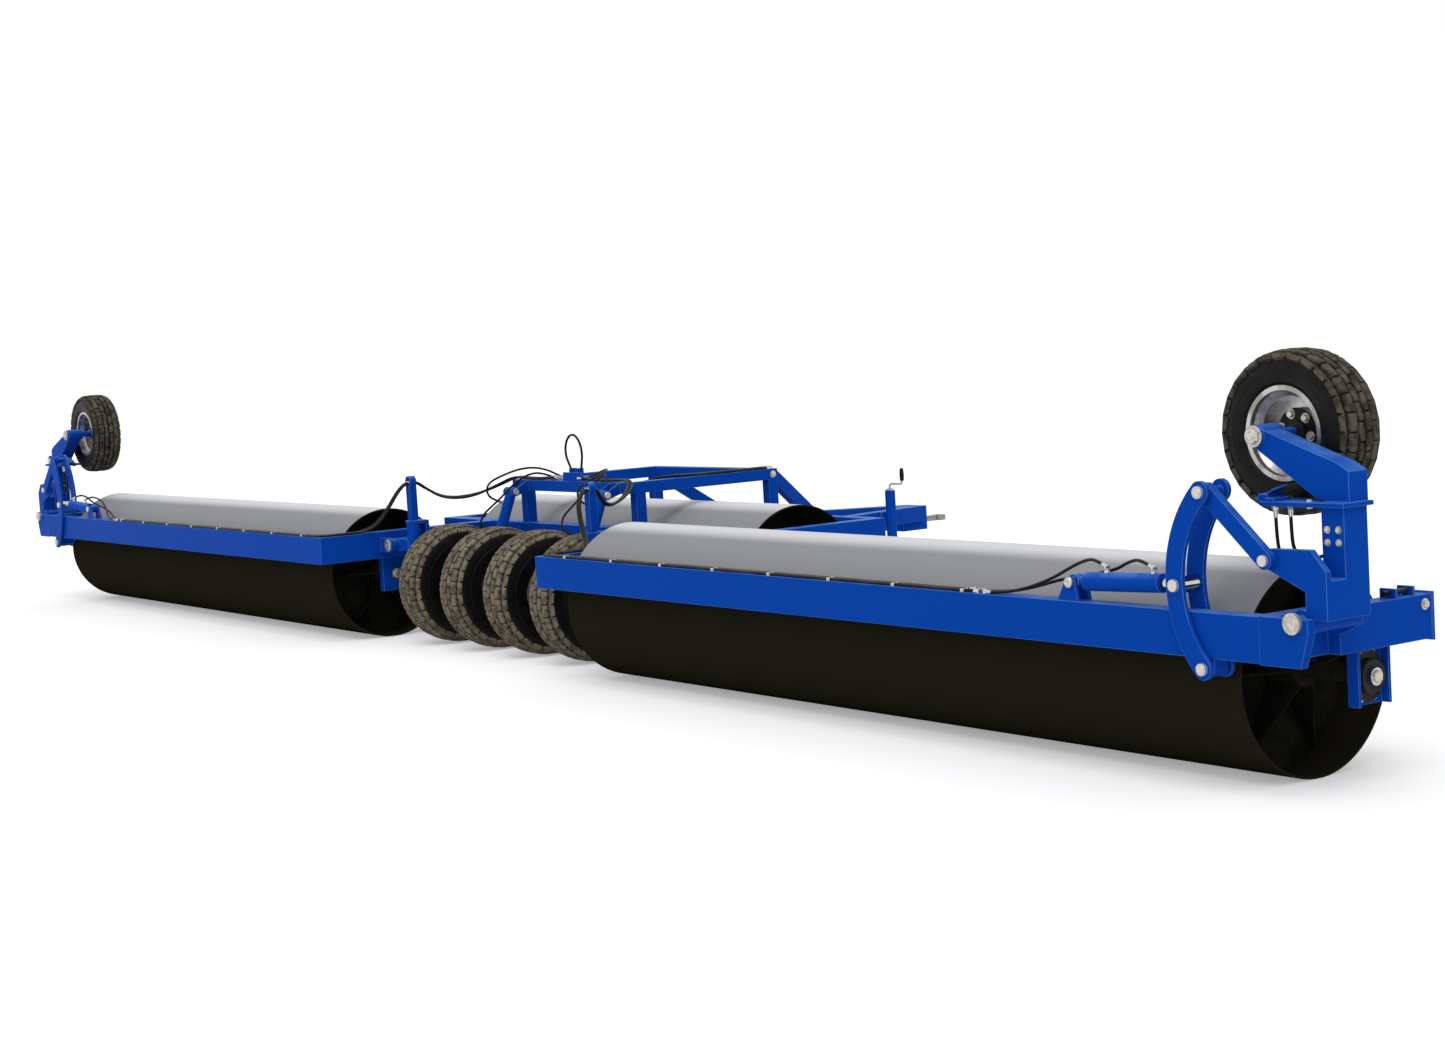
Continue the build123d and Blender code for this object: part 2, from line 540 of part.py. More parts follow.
def wing_frame():
    """The right wing's rear beam with its two end arms, lugs and pivots."""
    z = (FRAME_BOTTOM, FRAME_TOP)
    step_y = (tower_lug_ys()[1], tower_lug_ys()[1] + LUG_T)
    frame = block((FRAME_IN, RECESS_OUT), (REAR_FACE, REAR_FACE + REAR_W), z)
    frame += block((FRAME_IN, FRAME_IN + FRAME_W), (REAR_FACE, IN_ARM_Y1), z)
    frame += block((RECESS_OUT - FRAME_W, RECESS_OUT), (REAR_FACE, step_y[1]), z)
    frame += block((RECESS_OUT - FRAME_W, FRAME_OUT), step_y, z)
    frame += block((FRAME_OUT - FRAME_W, FRAME_OUT), (step_y[0], OUT_ARM_Y1), z)
    lip_x = (FRAME_OUT - FRAME_W - END_PLATE_LIP, FRAME_OUT + END_PLATE_LIP)
    lip_z = (FRAME_BOTTOM - END_PLATE_LIP, FRAME_TOP + END_PLATE_LIP)
    frame += block(lip_x, (OUT_ARM_Y1, OUT_ARM_Y1 + END_PLATE_T), lip_z)
    float_lug = stadium((FLOAT_X, FLOAT_Z), (FRAME_IN, FLOAT_Z), FLOAT_LUG_H)
    float_lug -= Pos(FRAME_IN + FLOAT_LUG_H, FLOAT_Z) * Rectangle(2 * FLOAT_LUG_H, 2 * FLOAT_LUG_H)
    for s in (-1, 1):
        frame += plate_xz(float_lug, *sorted((s * FLOAT_LUG_Y, s * (FLOAT_LUG_Y + LUG_T))))
    frame += rod_y(FLOAT_X, FLOAT_Z, FLOAT_PIN_D, -FLOAT_LUG_Y - LUG_T - 12, FLOAT_LUG_Y + LUG_T + 12)
    px, pz = TOWER_PIVOT
    sleeve = outline((RECESS_OUT - FRAME_W / 2, FRAME_BOTTOM - 4), (px + 27, FRAME_BOTTOM - 4),
                     (px + 74, pz - 40), (px + 70, FRAME_TOP + 4), (RECESS_OUT - FRAME_W / 2, FRAME_TOP + 4))
    frame += plate_xz(sleeve, REAR_FACE - 4, tower_lug_ys()[0] + LUG_T)
    front_lug = stadium(TOWER_PIVOT, (FRAME_OUT, pz - 40), PIVOT_LUG_H)
    front_lug -= Pos(FRAME_OUT - PIVOT_LUG_H, pz) * Rectangle(2 * PIVOT_LUG_H, 4 * PIVOT_LUG_H)
    frame += plate_xz(front_lug, *step_y)
    frame -= rod_y(px, pz, TOWER_PIN_D + 2 * RUN, REAR_FACE - LUG_T, step_y[1] + LUG_T)
    x, low_z = ROCKER_LOW
    boss_y = (REAR_FACE + 5, REAR_FACE + REAR_W - 5)
    frame += rod_y(x, low_z, PIN_D + 40, *boss_y)
    frame += block((x - 40, x + 40), boss_y, (low_z, FRAME_BOTTOM))
    frame -= rod_y(x, low_z, PIN_D + 2 * RUN, REAR_FACE, REAR_FACE + REAR_W)
    lug_x, lug_z = RAM_LUG
    ear = outline((lug_x - 90, FRAME_TOP), (lug_x - 25, lug_z + 25), (lug_x + 25, lug_z + 25),
                  (lug_x + 50, FRAME_TOP))
    for side in (-1, 1):
        inner = MECH_Y + side * 30
        frame += plate_xz(ear, *sorted((inner, inner + side * 15)))
    frame -= rod_y(lug_x, lug_z, PIN_D + 2 * RUN, REAR_FACE, REAR_FACE + REAR_W)
    return frame


def tower_lug_ys():
    """Where the two lugs of the tower's pivot start along Y."""
    return REAR_FACE + 15, POST_Y1 + 60


def wing_hangers():
    """The right wing's two bearing hangers."""
    inner = bearing_hanger(wing_hanger_xs()[0], 0, FRAME_BOTTOM, 1)
    outer = bearing_hanger(wing_hanger_xs()[1], 0, FRAME_BOTTOM, 1)
    return inner, outer


def wing_hanger_xs():
    """Where the inner and the outer hanger's plates start along X."""
    return FRAME_IN + FRAME_W - HANGER_DEPTH, FRAME_OUT - FRAME_W + SIDE_GAP


def tower():
    """The support wheel's swinging tower: boss, box, bracket, post, joint plate, arm, spindle."""
    px, pz = TOWER_PIVOT
    first, last = tower_lug_ys()
    y0, y1 = first + LUG_T + SIDE_GAP, last - SIDE_GAP
    out_x = TOWER_OUT
    foot_top = pz + FOOT_H
    body = rod_y(px, pz, TOWER_PIN_D + 50, y0, y1)
    body += rod_y(px, pz, TOWER_PIN_D, REAR_FACE - 24, last + LUG_T + 20)
    body += rod_y(px, pz, TOWER_PIN_D + 30, REAR_FACE - 24, REAR_FACE - 5)
    bx, bz = BRACKET_PIN
    body += block((px + 25, out_x), (y0, POST_Y1), (pz + 10, foot_top))
    bracket = Pos(bx, bz) * Circle(48)
    bracket += outline((bx - 30, bz - 38), (px + 25, pz + 130), (out_x, pz + 130),
                       (out_x, foot_top + 40), (out_x - 80, bz + 50), (bx + 5, bz + 48))
    body += plate_xz(bracket, y0, y0 + 30)
    body += block((px + POST_STEP, out_x), (POST_Y0, POST_Y1), (pz + 10, PLATE_Z))
    plate_x = (px - JOINT_PLATE_IN, out_x + 20)
    body += block(plate_x, (POST_Y0 - 25, POST_Y1 + 20), (PLATE_Z, PLATE_Z + JOINT_PLATE_T))
    hx, hz = WHEEL_HUB
    arm = Pos(hx, hz) * Circle(50)
    low = PLATE_Z + JOINT_PLATE_T
    arm += outline((hx - 20, hz + 45), (hx - 35, hz - 35), (px - 50, low + 20), (px + 20, low),
                   (out_x, low), (out_x, low + 130), (out_x - 60, low + 165))
    body += plate_xz(arm, ARM_Y0, ARM_Y1)
    body += rod_y(hx, hz, 90, ARM_Y0 - 15, ARM_Y1 + 20)
    body += rod_y(hx, hz, STUB_D - 20, ARM_Y0 - 30, support_wheel_y() + 60)
    return body


def support_wheel_y():
    """The middle of the support wheel along Y."""
    return ARM_Y1 + WHEEL_GAP + SUPPORT_TYRE_W / 2


def rocker():
    """The curved twin-plate rocker with its three pins."""
    (x0, z0), (x1, z1), (x2, z2) = ROCKER_LOW, ROCKER_MID, ROCKER_TOP
    curve = ThreePointArc((x0, z0), (x1, z1), (x2, z2))
    band = trace(curve, line_width=ROCKER_W)
    for x, z in (ROCKER_LOW, ROCKER_TOP):
        band += Pos(x, z) * Circle(ROCKER_W / 2)
    outer = (REAR_FACE - PLATE_GAP - ROCKER_T, REAR_FACE - PLATE_GAP)
    inner_face = REAR_FACE + REAR_W + PLATE_GAP
    body = plate_xz(band, *outer) + plate_xz(band, inner_face, inner_face + ROCKER_T)
    for x, z in (ROCKER_LOW, ROCKER_TOP):
        body += rod_y(x, z, PIN_D, outer[0] - 18, inner_face + ROCKER_T)
    for x, z in (ROCKER_LOW, ROCKER_MID, ROCKER_TOP):
        body += rod_y(x, z, PIN_D + 16, outer[0] - 14, outer[1])
    return body


def link():
    """The straight bar from the rocker's top pin to the tower's bracket."""
    first, last = tower_lug_ys()
    y1 = first + LUG_T
    y0 = y1 - LINK_T
    bar = stadium(ROCKER_TOP, BRACKET_PIN, LINK_W)
    bar -= Pos(*ROCKER_TOP) * Circle(PIN_D / 2 + RUN)
    body = plate_xz(bar, y0, y1)
    x, z = BRACKET_PIN
    return body + rod_y(x, z, PIN_D + 10, y0 - 14, y0)


def wing_ram():
    """The tower cylinder as its barrel and its rod."""
    lx, lz = RAM_LUG
    mx, mz = ROCKER_MID
    length = math.dist(RAM_LUG, ROCKER_MID)
    angle = math.degrees(math.atan2(mz - lz, mx - lx))

    def bar(t0, t1, d):
        turned = Pos(lx, MECH_Y, lz) * Rot(0, -angle, 0)
        return turned * Pos((t0 + t1) / 2, 0, 0) * Rot(0, 90, 0) * Cylinder(d / 2, t1 - t0)

    barrel = bar(75, RAM_REACH, RAM_D) + bar(20, 80, 45)
    barrel += rod_y(lx, lz, 70, MECH_Y - 25, MECH_Y + 25)
    barrel += rod_y(lx, lz, PIN_D, MECH_Y - 55, MECH_Y + 55)
    barrel -= bar(120, RAM_REACH + 5, RAM_ROD_D + 2 * RUN)
    rod = bar(150, length - 20, RAM_ROD_D)
    eye = rod_y(mx, mz, 80, REAR_FACE - PLATE_GAP + SIDE_GAP, REAR_FACE + REAR_W + PLATE_GAP - SIDE_GAP)
    return barrel, rod + eye


def build():
    """Every node by name. Each wing is made on the right and mirrored to the left."""
    half = CENTRE_DRUM_LEN / 2
    shaft_end = half + DRUM_ARM_GAP + HANGER_WALL + BEARING_T + 10
    nodes = {
        "centre_frame": centre_frame(),
        "gantry": gantry(),
        "drawbar": drawbar(),
        "tow_eye": tow_eye(),
        "jack_tube": jack_tube(),
        "jack_leg": jack_leg(),
        "centre_drum_shell": drum_shell(-half, CENTRE_DRUM_LEN, CENTRE_DRUM_Y),
        "centre_drum_spider": drum_spider(-half, CENTRE_DRUM_LEN, CENTRE_DRUM_Y, (-shaft_end, shaft_end)),
        "axle_beam": axle_beam(),
    }
    for k in range(4):
        place = ((k - 1.5) * TYRE_PITCH, AXLE_Y, TYRE_D / 2)
        nodes[f"axle_tyre_{k + 1}"] = wheel_on_x(tyre(TYRE_D, TYRE_W), *place)
        nodes[f"axle_rim_{k + 1}"] = wheel_on_x(rim(TYRE_W, 0, STUB_D), *place)
    for s, name in ((-1, "left"), (1, "right")):
        barrel, rod = lift_ram(s)
        nodes[f"lift_barrel_{name}"] = barrel
        nodes[f"lift_rod_{name}"] = rod
    ram_barrel, ram_rod = wing_ram()
    hub = (WHEEL_HUB[0], support_wheel_y(), WHEEL_HUB[1])
    hanger_in, hanger_out = wing_hanger_xs()
    shaft = (hanger_in - 10, hanger_out + HANGER_WALL + BEARING_T + 15)
    right = {
        "knuckle": knuckle(),
        "wing_frame": wing_frame(),
        "wing_hangers": Compound(children=list(wing_hangers())),
        "wing_drum_shell": drum_shell(WING_DRUM_IN, WING_DRUM_LEN, 0),
        "wing_drum_spider": drum_spider(WING_DRUM_IN, WING_DRUM_LEN, 0, shaft),
        "tower": tower(),
        "rocker": rocker(),
        "link": link(),
        "ram_barrel": ram_barrel,
        "ram_rod": ram_rod,
        "support_tyre": wheel_on_y(tyre(SUPPORT_TYRE_D, SUPPORT_TYRE_W), *hub),
        "support_rim": wheel_on_y(rim(SUPPORT_TYRE_W, -20, STUB_D - 20), *hub),
    }
    for name, solid in right.items():
        nodes[f"{name}_right"] = solid
        nodes[f"{name}_left"] = mirror(solid, about=Plane.YZ)
    return nodes


os.makedirs("parts", exist_ok=True)
for node, solid in build().items():
    export_step(Pos(0, ORIGIN_Y, 0) * solid, f"parts/{node}.step")
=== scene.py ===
"""Finishes and small pieces of a trailed land roller, laid over its solid model. Lengths are in metres."""

import json
import math

import bmesh
import bpy
from mathutils import Matrix, Vector


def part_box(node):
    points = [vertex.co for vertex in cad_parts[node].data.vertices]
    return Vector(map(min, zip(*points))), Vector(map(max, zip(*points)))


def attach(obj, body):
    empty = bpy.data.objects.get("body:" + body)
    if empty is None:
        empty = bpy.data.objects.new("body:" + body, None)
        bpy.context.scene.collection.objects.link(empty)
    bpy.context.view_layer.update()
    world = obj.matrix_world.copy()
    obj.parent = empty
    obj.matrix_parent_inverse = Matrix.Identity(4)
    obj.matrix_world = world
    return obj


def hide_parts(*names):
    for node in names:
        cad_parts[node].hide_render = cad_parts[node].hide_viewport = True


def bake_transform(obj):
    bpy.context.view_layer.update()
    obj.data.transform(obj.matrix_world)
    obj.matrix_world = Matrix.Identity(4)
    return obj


bl_info = {
    "name": "Land Roller Looks",
    "version": (1, 0, 0),
    "blender": (4, 5, 0),
    "location": "View3D > Sidebar > Land Roller",
    "description": "Finishes and small pieces of a trailed land roller",
    "category": "Object",
}

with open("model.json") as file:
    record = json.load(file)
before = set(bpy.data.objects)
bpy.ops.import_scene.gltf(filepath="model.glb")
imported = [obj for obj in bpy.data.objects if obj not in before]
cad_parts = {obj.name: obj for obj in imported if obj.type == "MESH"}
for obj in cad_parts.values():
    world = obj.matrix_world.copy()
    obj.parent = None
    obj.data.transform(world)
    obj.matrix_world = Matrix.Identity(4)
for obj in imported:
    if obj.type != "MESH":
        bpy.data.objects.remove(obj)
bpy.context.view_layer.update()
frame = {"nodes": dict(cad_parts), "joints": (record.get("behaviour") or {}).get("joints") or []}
JOINTS = {joint["name"]: joint for joint in frame["joints"]}
SIDES = ((-1, "left"), (1, "right"))
AXLE_WHEELS = (1, 2, 3, 4)


def low(node):
    """A node's lowest corner."""
    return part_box(node)[0]


def high(node):
    """A node's highest corner."""
    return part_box(node)[1]


def middle(node):
    """The middle of a node's box."""
    return (low(node) + high(node)) / 2


def pivot(joint):
    """Where a hinge's axis passes."""
    return Vector(JOINTS[joint]["pos_m"])


def on_side(stem, side):
    """A body's name. One that ends in _ takes the side's name."""
    return stem + side if stem.endswith("_") else stem


def to_side(place, sign):
    """A place or a direction of the right side, or its mirror image where the sign is -1."""
    return Vector((sign * place[0], place[1], place[2]))


# Settings that a user would change


def length_prop(name, value, about):
    """A size in metres, shown in the sidebar."""
    return bpy.props.FloatProperty(name=name, default=value, description=about, unit="LENGTH", precision=4)


def colour_prop(name, rgb, about):
    """A colour, given as it looks on a screen from 0 to 255."""
    return bpy.props.FloatVectorProperty(
        name=name, default=linear(rgb), size=3, min=0, max=1, subtype="COLOR", description=about)


def linear(rgb):
    """A screen colour from 0 to 255 as light values."""
    shares = (c / 255 for c in rgb)
    return tuple(c / 12.92 if c <= 0.04045 else ((c + 0.055) / 1.055) ** 2.4 for c in shares)


class RollerColours(bpy.types.PropertyGroup):
    """Colours of the paints, metals and rubber."""

    blue: colour_prop("Blue enamel", (8, 67, 167), "Paint of the frame, tower and linkage")
    # Blue edges is a painted highlight along the blue's edges and a painted sheen on its upper faces.
    blue_painted_highlight: colour_prop("Blue edges", (112, 166, 236), "Lighter paint along edges and on upper faces")
    drum_dark: colour_prop("Drum below", (36, 34, 25), "Black-brown coat of the drums")
    # Drum above is a painted reflection of the sky where the drums face up, and Drum crown a painted
    # highlight along their tops.
    drum_painted_reflection: colour_prop("Drum above", (146, 147, 150), "Polished coat where the drums face up")
    drum_painted_highlight: colour_prop("Drum crown", (214, 215, 218), "Brightest band along the top of the drums")
    rubber: colour_prop("Rubber", (15, 15, 15), "Sidewalls of the tyres")
    tread_dust: colour_prop("Tread dust", (126, 118, 102), "Dusty faces of the axle tyres' blocks")
    tread_dark: colour_prop("Tread dark", (86, 80, 69), "Darker patches of those blocks")
    clean_tread: colour_prop("Clean tread", (88, 83, 73), "Faces of the support tyres' blocks")
    clean_dark: colour_prop("Clean dark", (54, 51, 45), "Darker patches of those blocks")
    groove: colour_prop("Grooves", (7, 7, 6), "Grooves between the tread blocks")
    silver: colour_prop("Rim silver", (196, 197, 198), "Paint of the wheel rims")
    zinc: colour_prop("Zinc", (208, 204, 196), "Pins, nuts and washers")
    zinc_worn: colour_prop("Worn zinc", (176, 171, 160), "Duller patches of the zinc")
    steel: colour_prop("Steel", (150, 146, 138), "Bare forged steel")
    steel_dark: colour_prop("Dark steel", (122, 118, 110), "Darker patches of the forged steel")
    black: colour_prop("Black", (20, 20, 20), "Hubs, hoses and caps")
    dust: colour_prop("Dust", (150, 140, 122), "Dry dust that settles on upper faces")


class RollerSizes(bpy.types.PropertyGroup):
    """Sizes of the pieces that are added to the solid model."""

    pin_r: length_prop("Pin head radius", 0.026, "Radius of a linkage pin's head")
    pin_h: length_prop("Pin head height", 0.012, "How far a linkage pin's head stands out")
    pivot_r: length_prop("Pivot head radius", 0.047, "Radius of the tower pivot's head")
    bolt_r: length_prop("Bolt radius", 0.012, "Half the width across a small bolt's corners")
    nut_r: length_prop("Nut radius", 0.017, "Half the width across a wheel nut's corners")
    block_h: length_prop("Tread depth", 0.017, "Height of the tread blocks")
    edge_r: length_prop("Edge radius", 0.007, "Rounding that the paint shows along the edges")


class RollerStage(bpy.types.PropertyGroup):
    """Camera, lamp and floor."""

    eye: bpy.props.FloatVectorProperty(
        name="Camera place", default=(14.539, -9.933, 2.167), size=3, subtype="TRANSLATION", unit="LENGTH",
        description="Where the camera stands")
    yaw: bpy.props.FloatProperty(
        name="Yaw", default=math.radians(55.066), unit="ROTATION", description="Turn to the left from +Y")
    pitch: bpy.props.FloatProperty(
        name="Pitch", default=math.radians(-4.503), unit="ROTATION", description="Tilt up from level")
    roll: bpy.props.FloatProperty(
        name="Roll", default=math.radians(-3.391), unit="ROTATION", description="Turn about the view")
    lens: bpy.props.FloatProperty(
        name="Lens", default=57.884, unit="CAMERA", description="Focal length on a sensor 36 mm wide")
    sky: bpy.props.FloatProperty(
        name="Sky", default=0.74, min=0, description="Level of the light from all round")
    sun: bpy.props.FloatProperty(name="Lamp", default=1.1, min=0, description="Level of the soft lamp")
    floor_half: length_prop("Floor half width", 60.0, "Half the width of the floor")


def colour(name):
    """One colour of the sidebar as red, green, blue and 1."""
    return (*getattr(bpy.context.scene.roller_colours, name), 1.0)


def sizes():
    """The sizes of the sidebar."""
    return bpy.context.scene.roller_sizes


# Node trees


def add_node(tree, kind, **values):
    """A node in a tree, its plain attributes set by name."""
    made = tree.nodes.new(kind)
    for name, value in values.items():
        setattr(made, name, value)
    return made


def wire(tree, value, socket):
    """Joins an output to a socket, or sets the socket to a plain value."""
    if isinstance(value, bpy.types.NodeSocket):
        tree.links.new(value, socket)
    else:
        socket.default_value = value


def mix_colour(tree, factor, first, second):
    """A Mix node for colours, as its output."""
    made = add_node(tree, "ShaderNodeMix", data_type="RGBA", clamp_factor=True)
    for index, value in ((0, factor), (6, first), (7, second)):
        wire(tree, value, made.inputs[index])
    return made.outputs[2]


def fill(tree, made, *values):
    """Wires or sets a node's inputs in their order, and gives its outputs."""
    for socket, value in zip(made.inputs, values):
        wire(tree, value, socket)
    return made.outputs


def calculate(tree, operation, *values, clamp=True):
    """A Math node as its output, kept from 0 to 1 unless told otherwise."""
    return fill(tree, add_node(tree, "ShaderNodeMath", operation=operation, use_clamp=clamp), *values)[0]


def vector_math(tree, operation, *values):
    """A Vector Math node as its outputs, Vector and Value."""
    return fill(tree, add_node(tree, "ShaderNodeVectorMath", operation=operation), *values)


def remap(tree, value, from_low, from_high, to_low=0.0, to_high=1.0):
    """A smooth Map Range node, as its output."""
    made = add_node(tree, "ShaderNodeMapRange", interpolation_type="SMOOTHSTEP")
    return fill(tree, made, value, from_low, from_high, to_low, to_high)[0]


def object_place(tree):
    """The Object coordinates."""
    return add_node(tree, "ShaderNodeTexCoord").outputs["Object"]


def face_normal(tree):
    """The way that a face looks."""
    return add_node(tree, "ShaderNodeNewGeometry").outputs["Normal"]


def part_of(tree, vector, axis):
    """One part of a vector, 0 for X, 1 for Y and 2 for Z."""
    return fill(tree, add_node(tree, "ShaderNodeSeparateXYZ"), vector)[axis]


def noise(tree, scale, detail=4.0, roughness=0.55):
    """Noise over Object coordinates, as its value."""
    made = add_node(tree, "ShaderNodeTexNoise")
    wire(tree, object_place(tree), made.inputs["Vector"])
    for name, value in (("Scale", scale), ("Detail", detail), ("Roughness", roughness)):
        wire(tree, value, made.inputs[name])
    return made.outputs[0]


FLOAT, COLOUR, VECTOR = "NodeSocketFloat", "NodeSocketColor", "NodeSocketVector"


def shader_group(name, inputs, outputs):
    """An empty shader group with its inputs and outputs, each a name with its kind and default."""
    group = bpy.data.node_groups.new(name, "ShaderNodeTree")
    for label, kind, value in inputs:
        group.interface.new_socket(label, in_out="INPUT", socket_type=kind).default_value = value
    for label, kind in outputs:
        group.interface.new_socket(label, in_out="OUTPUT", socket_type=kind)
    return group, add_node(group, "NodeGroupInput").outputs, add_node(group, "NodeGroupOutput").inputs


def dust_and_painted_sheen_group():
    """Patchy dust, thicker where a face looks up. On the blue enamel the same mask lays a painted sheen on
    upper faces.
    """
    group, given, out = shader_group(
        "dust_and_painted_sheen", [("Amount", FLOAT, 0.3), ("Upward", FLOAT, 0.5), ("Scale", FLOAT, 5.0)],
        [("Mask", FLOAT)])
    lying = remap(group, part_of(group, face_normal(group), 2), 0.3, 1.0)
    up = calculate(group, "MULTIPLY", lying, given["Upward"])
    patches = remap(group, noise(group, given["Scale"], 6.0, 0.62), 0.38, 0.72)
    everywhere = calculate(group, "MULTIPLY", patches, given["Amount"])
    top = calculate(group, "MULTIPLY", calculate(group, "ADD", patches, 0.35), up)
    wire(group, calculate(group, "ADD", everywhere, top), out["Mask"])
    return group


def painted_edge_highlight_group():
    """Rounded edge normals, and a mask along those edges for a painted highlight."""
    group, given, out = shader_group(
        "painted_edge_highlight", [("Radius", FLOAT, 0.006), ("Amount", FLOAT, 0.5)],
        [("Mask", FLOAT), ("Normal", VECTOR)])
    rounded = fill(group, add_node(group, "ShaderNodeBevel", samples=4), given["Radius"])[0]
    same = vector_math(group, "DOT_PRODUCT", rounded, face_normal(group))["Value"]
    bend = remap(group, same, 0.985, 0.80)
    patchy = remap(group, noise(group, 9.0), 0.30, 0.65, 0.45, 1.0)
    mask = calculate(group, "MULTIPLY", calculate(group, "MULTIPLY", bend, patchy), given["Amount"])
    wire(group, mask, out["Mask"])
    wire(group, rounded, out["Normal"])
    return group


def mottle_group():
    """Two tones of one finish in soft patches."""
    group, given, out = shader_group(
        "mottle",
        [("Tone", COLOUR, (0.5, 0.5, 0.5, 1)), ("Other tone", COLOUR, (0.4, 0.4, 0.4, 1)),
         ("Scale", FLOAT, 8.0), ("Spread", FLOAT, 0.12)],
        [("Color", COLOUR)])
    value = noise(group, given["Scale"], 5.0, 0.6)
    lowest = calculate(group, "SUBTRACT", 0.5, given["Spread"])
    highest = calculate(group, "ADD", 0.5, given["Spread"])
    patches = remap(group, value, lowest, highest)
    wire(group, mix_colour(group, patches, given["Tone"], given["Other tone"]), out["Color"])
    return group


def surface_grain_group():
    """A fine, even height for enamel, castings and rubber."""
    group, given, out = shader_group("surface_grain", [("Scale", FLOAT, 300.0)], [("Height", FLOAT)])
    wire(group, noise(group, given["Scale"], 3.0, 0.5), out["Height"])
    return group


GROUP_MAKERS = {
    "dust_and_painted_sheen": dust_and_painted_sheen_group,
    "painted_edge_highlight": painted_edge_highlight_group,
    "mottle": mottle_group,
    "surface_grain": surface_grain_group,
}


def use_group(tree, name, **values):
    """A shader group placed in a material with its own values."""
    group = bpy.data.node_groups.get(name) or GROUP_MAKERS[name]()
    placed = add_node(tree, "ShaderNodeGroup", node_tree=group)
    for label, value in values.items():
        wire(tree, value, placed.inputs[label.replace("_", " ")])
    return placed.outputs


GRAIN_DEPTH = 0.002
METAL_SHINE = 0.5


def finish(name, tone, other, mottle=8.0, dust=0.1, upward=0.2, edge_highlight_level=0.0, edge=None, roughness=(0.3, 0.45),
           metal=0.0, shine=0.12, grain=300.0, bump=0.08, dust_and_sheen_tone="dust"):
    """A material: two tones, a painted highlight along the edges and dust over them, grain, and roughness
    that follows the dust. On the blue enamel the dust mask is a painted sheen on upper faces.
    """
    made = bpy.data.materials.get(name)
    if made:
        return made
    made = bpy.data.materials.new(name)
    made.use_nodes = True
    tree = made.node_tree
    shader = tree.nodes["Principled BSDF"]
    base = use_group(tree, "mottle", Tone=colour(tone), Other_tone=colour(other), Scale=mottle)["Color"]
    bumps = add_node(tree, "ShaderNodeBump")
    bumps.inputs["Strength"].default_value = bump
    bumps.inputs["Distance"].default_value = GRAIN_DEPTH
    wire(tree, use_group(tree, "surface_grain", Scale=grain)["Height"], bumps.inputs["Height"])
    if edge:
        # The mask lays a painted highlight along the edges; the normals round the edges.
        highlit_edges = use_group(tree, "painted_edge_highlight", Radius=sizes().edge_r, Amount=edge_highlight_level)
        base = mix_colour(tree, highlit_edges["Mask"], base, colour(edge))
        wire(tree, highlit_edges["Normal"], bumps.inputs["Normal"])
    # Dust, thicker on upper faces; on the blue enamel this mask lays a painted sheen on upper faces instead.
    mask = use_group(tree, "dust_and_painted_sheen", Amount=dust, Upward=upward)["Mask"]
    wire(tree, mix_colour(tree, mask, base, colour(dust_and_sheen_tone)), shader.inputs["Base Color"])
    wire(tree, remap(tree, mask, 0.0, 0.6, *roughness), shader.inputs["Roughness"])
    wire(tree, bumps.outputs[0], shader.inputs["Normal"])
    shader.inputs["Metallic"].default_value = metal
    shader.inputs["Specular IOR Level"].default_value = METAL_SHINE if metal else shine
    return made


def overlay(made, mask, tone):
    """Lays another colour over a finish's own, where a mask is 1."""
    base = made.node_tree.nodes["Principled BSDF"].inputs["Base Color"]
    wire(made.node_tree, mix_colour(made.node_tree, mask, base.links[0].from_socket, tone), base)


def blue_enamel(name="blue_enamel", pins_behind=None):
    """Glossy blue paint with a painted highlight along its edges and a painted sheen on its upper faces. What
    stands behind a given Y is the zinc of the piece's pins.
    """
    known = bpy.data.materials.get(name)
    # No dust here: the upward mask lays a painted sheen, in the highlight blue, on upper faces.
    made = finish(name, "blue", "blue", dust=0.0, upward=0.36, edge_highlight_level=0.85, edge="blue_painted_highlight",
                  roughness=(0.3, 0.45), shine=0.008, grain=420.0, bump=0.03, dust_and_sheen_tone="blue_painted_highlight")
    if known or pins_behind is None:
        return made
    tree = made.node_tree
    pins = calculate(tree, "LESS_THAN", part_of(tree, object_place(tree), 1), pins_behind)
    overlay(made, pins, colour("zinc"))
    metal = tree.nodes["Principled BSDF"].inputs["Metallic"]
    wire(tree, calculate(tree, "MULTIPLY", pins, PLAIN_FINISHES["zinc_plate"]["metal"]), metal)
    return made


def drum_with_painted_reflection(node):
    """A drum's black-brown coat, with a painted reflection of the sky on the outside where it looks up, and a
    painted highlight along the top.
    """
    name = "drum_with_painted_reflection_" + ("centre" if "centre" in node else "wing")
    made = bpy.data.materials.get(name)
    if made:
        return made
    made = finish(name, "drum_dark", "drum_dark", mottle=3.0, dust=0.0, upward=0.0,
                  roughness=(0.4, 0.7), shine=0.0, grain=160.0, bump=0.06)
    tree = made.node_tree
    # A painted reflection of the sky on the shell's outside, by how far each face looks up, with a painted
    # highlight where it looks straight up.
    up = part_of(tree, face_normal(tree), 2)
    lit = mix_colour(tree, remap(tree, up, 0.90, 1.0), colour("drum_painted_reflection"), colour("drum_painted_highlight"))
    offset = vector_math(tree, "SUBTRACT", object_place(tree), middle(node))["Vector"]
    flat = vector_math(tree, "MULTIPLY", offset, (0, 1, 1))["Vector"]
    from_axis = vector_math(tree, "LENGTH", flat)["Value"]
    radius = (high(node).z - low(node).z) / 2
    outside = calculate(tree, "GREATER_THAN", from_axis, radius - 0.006)
    overlay(made, calculate(tree, "MULTIPLY", outside, remap(tree, up, 0.28, 0.66, 0.0, 0.98)), lit)
    return made


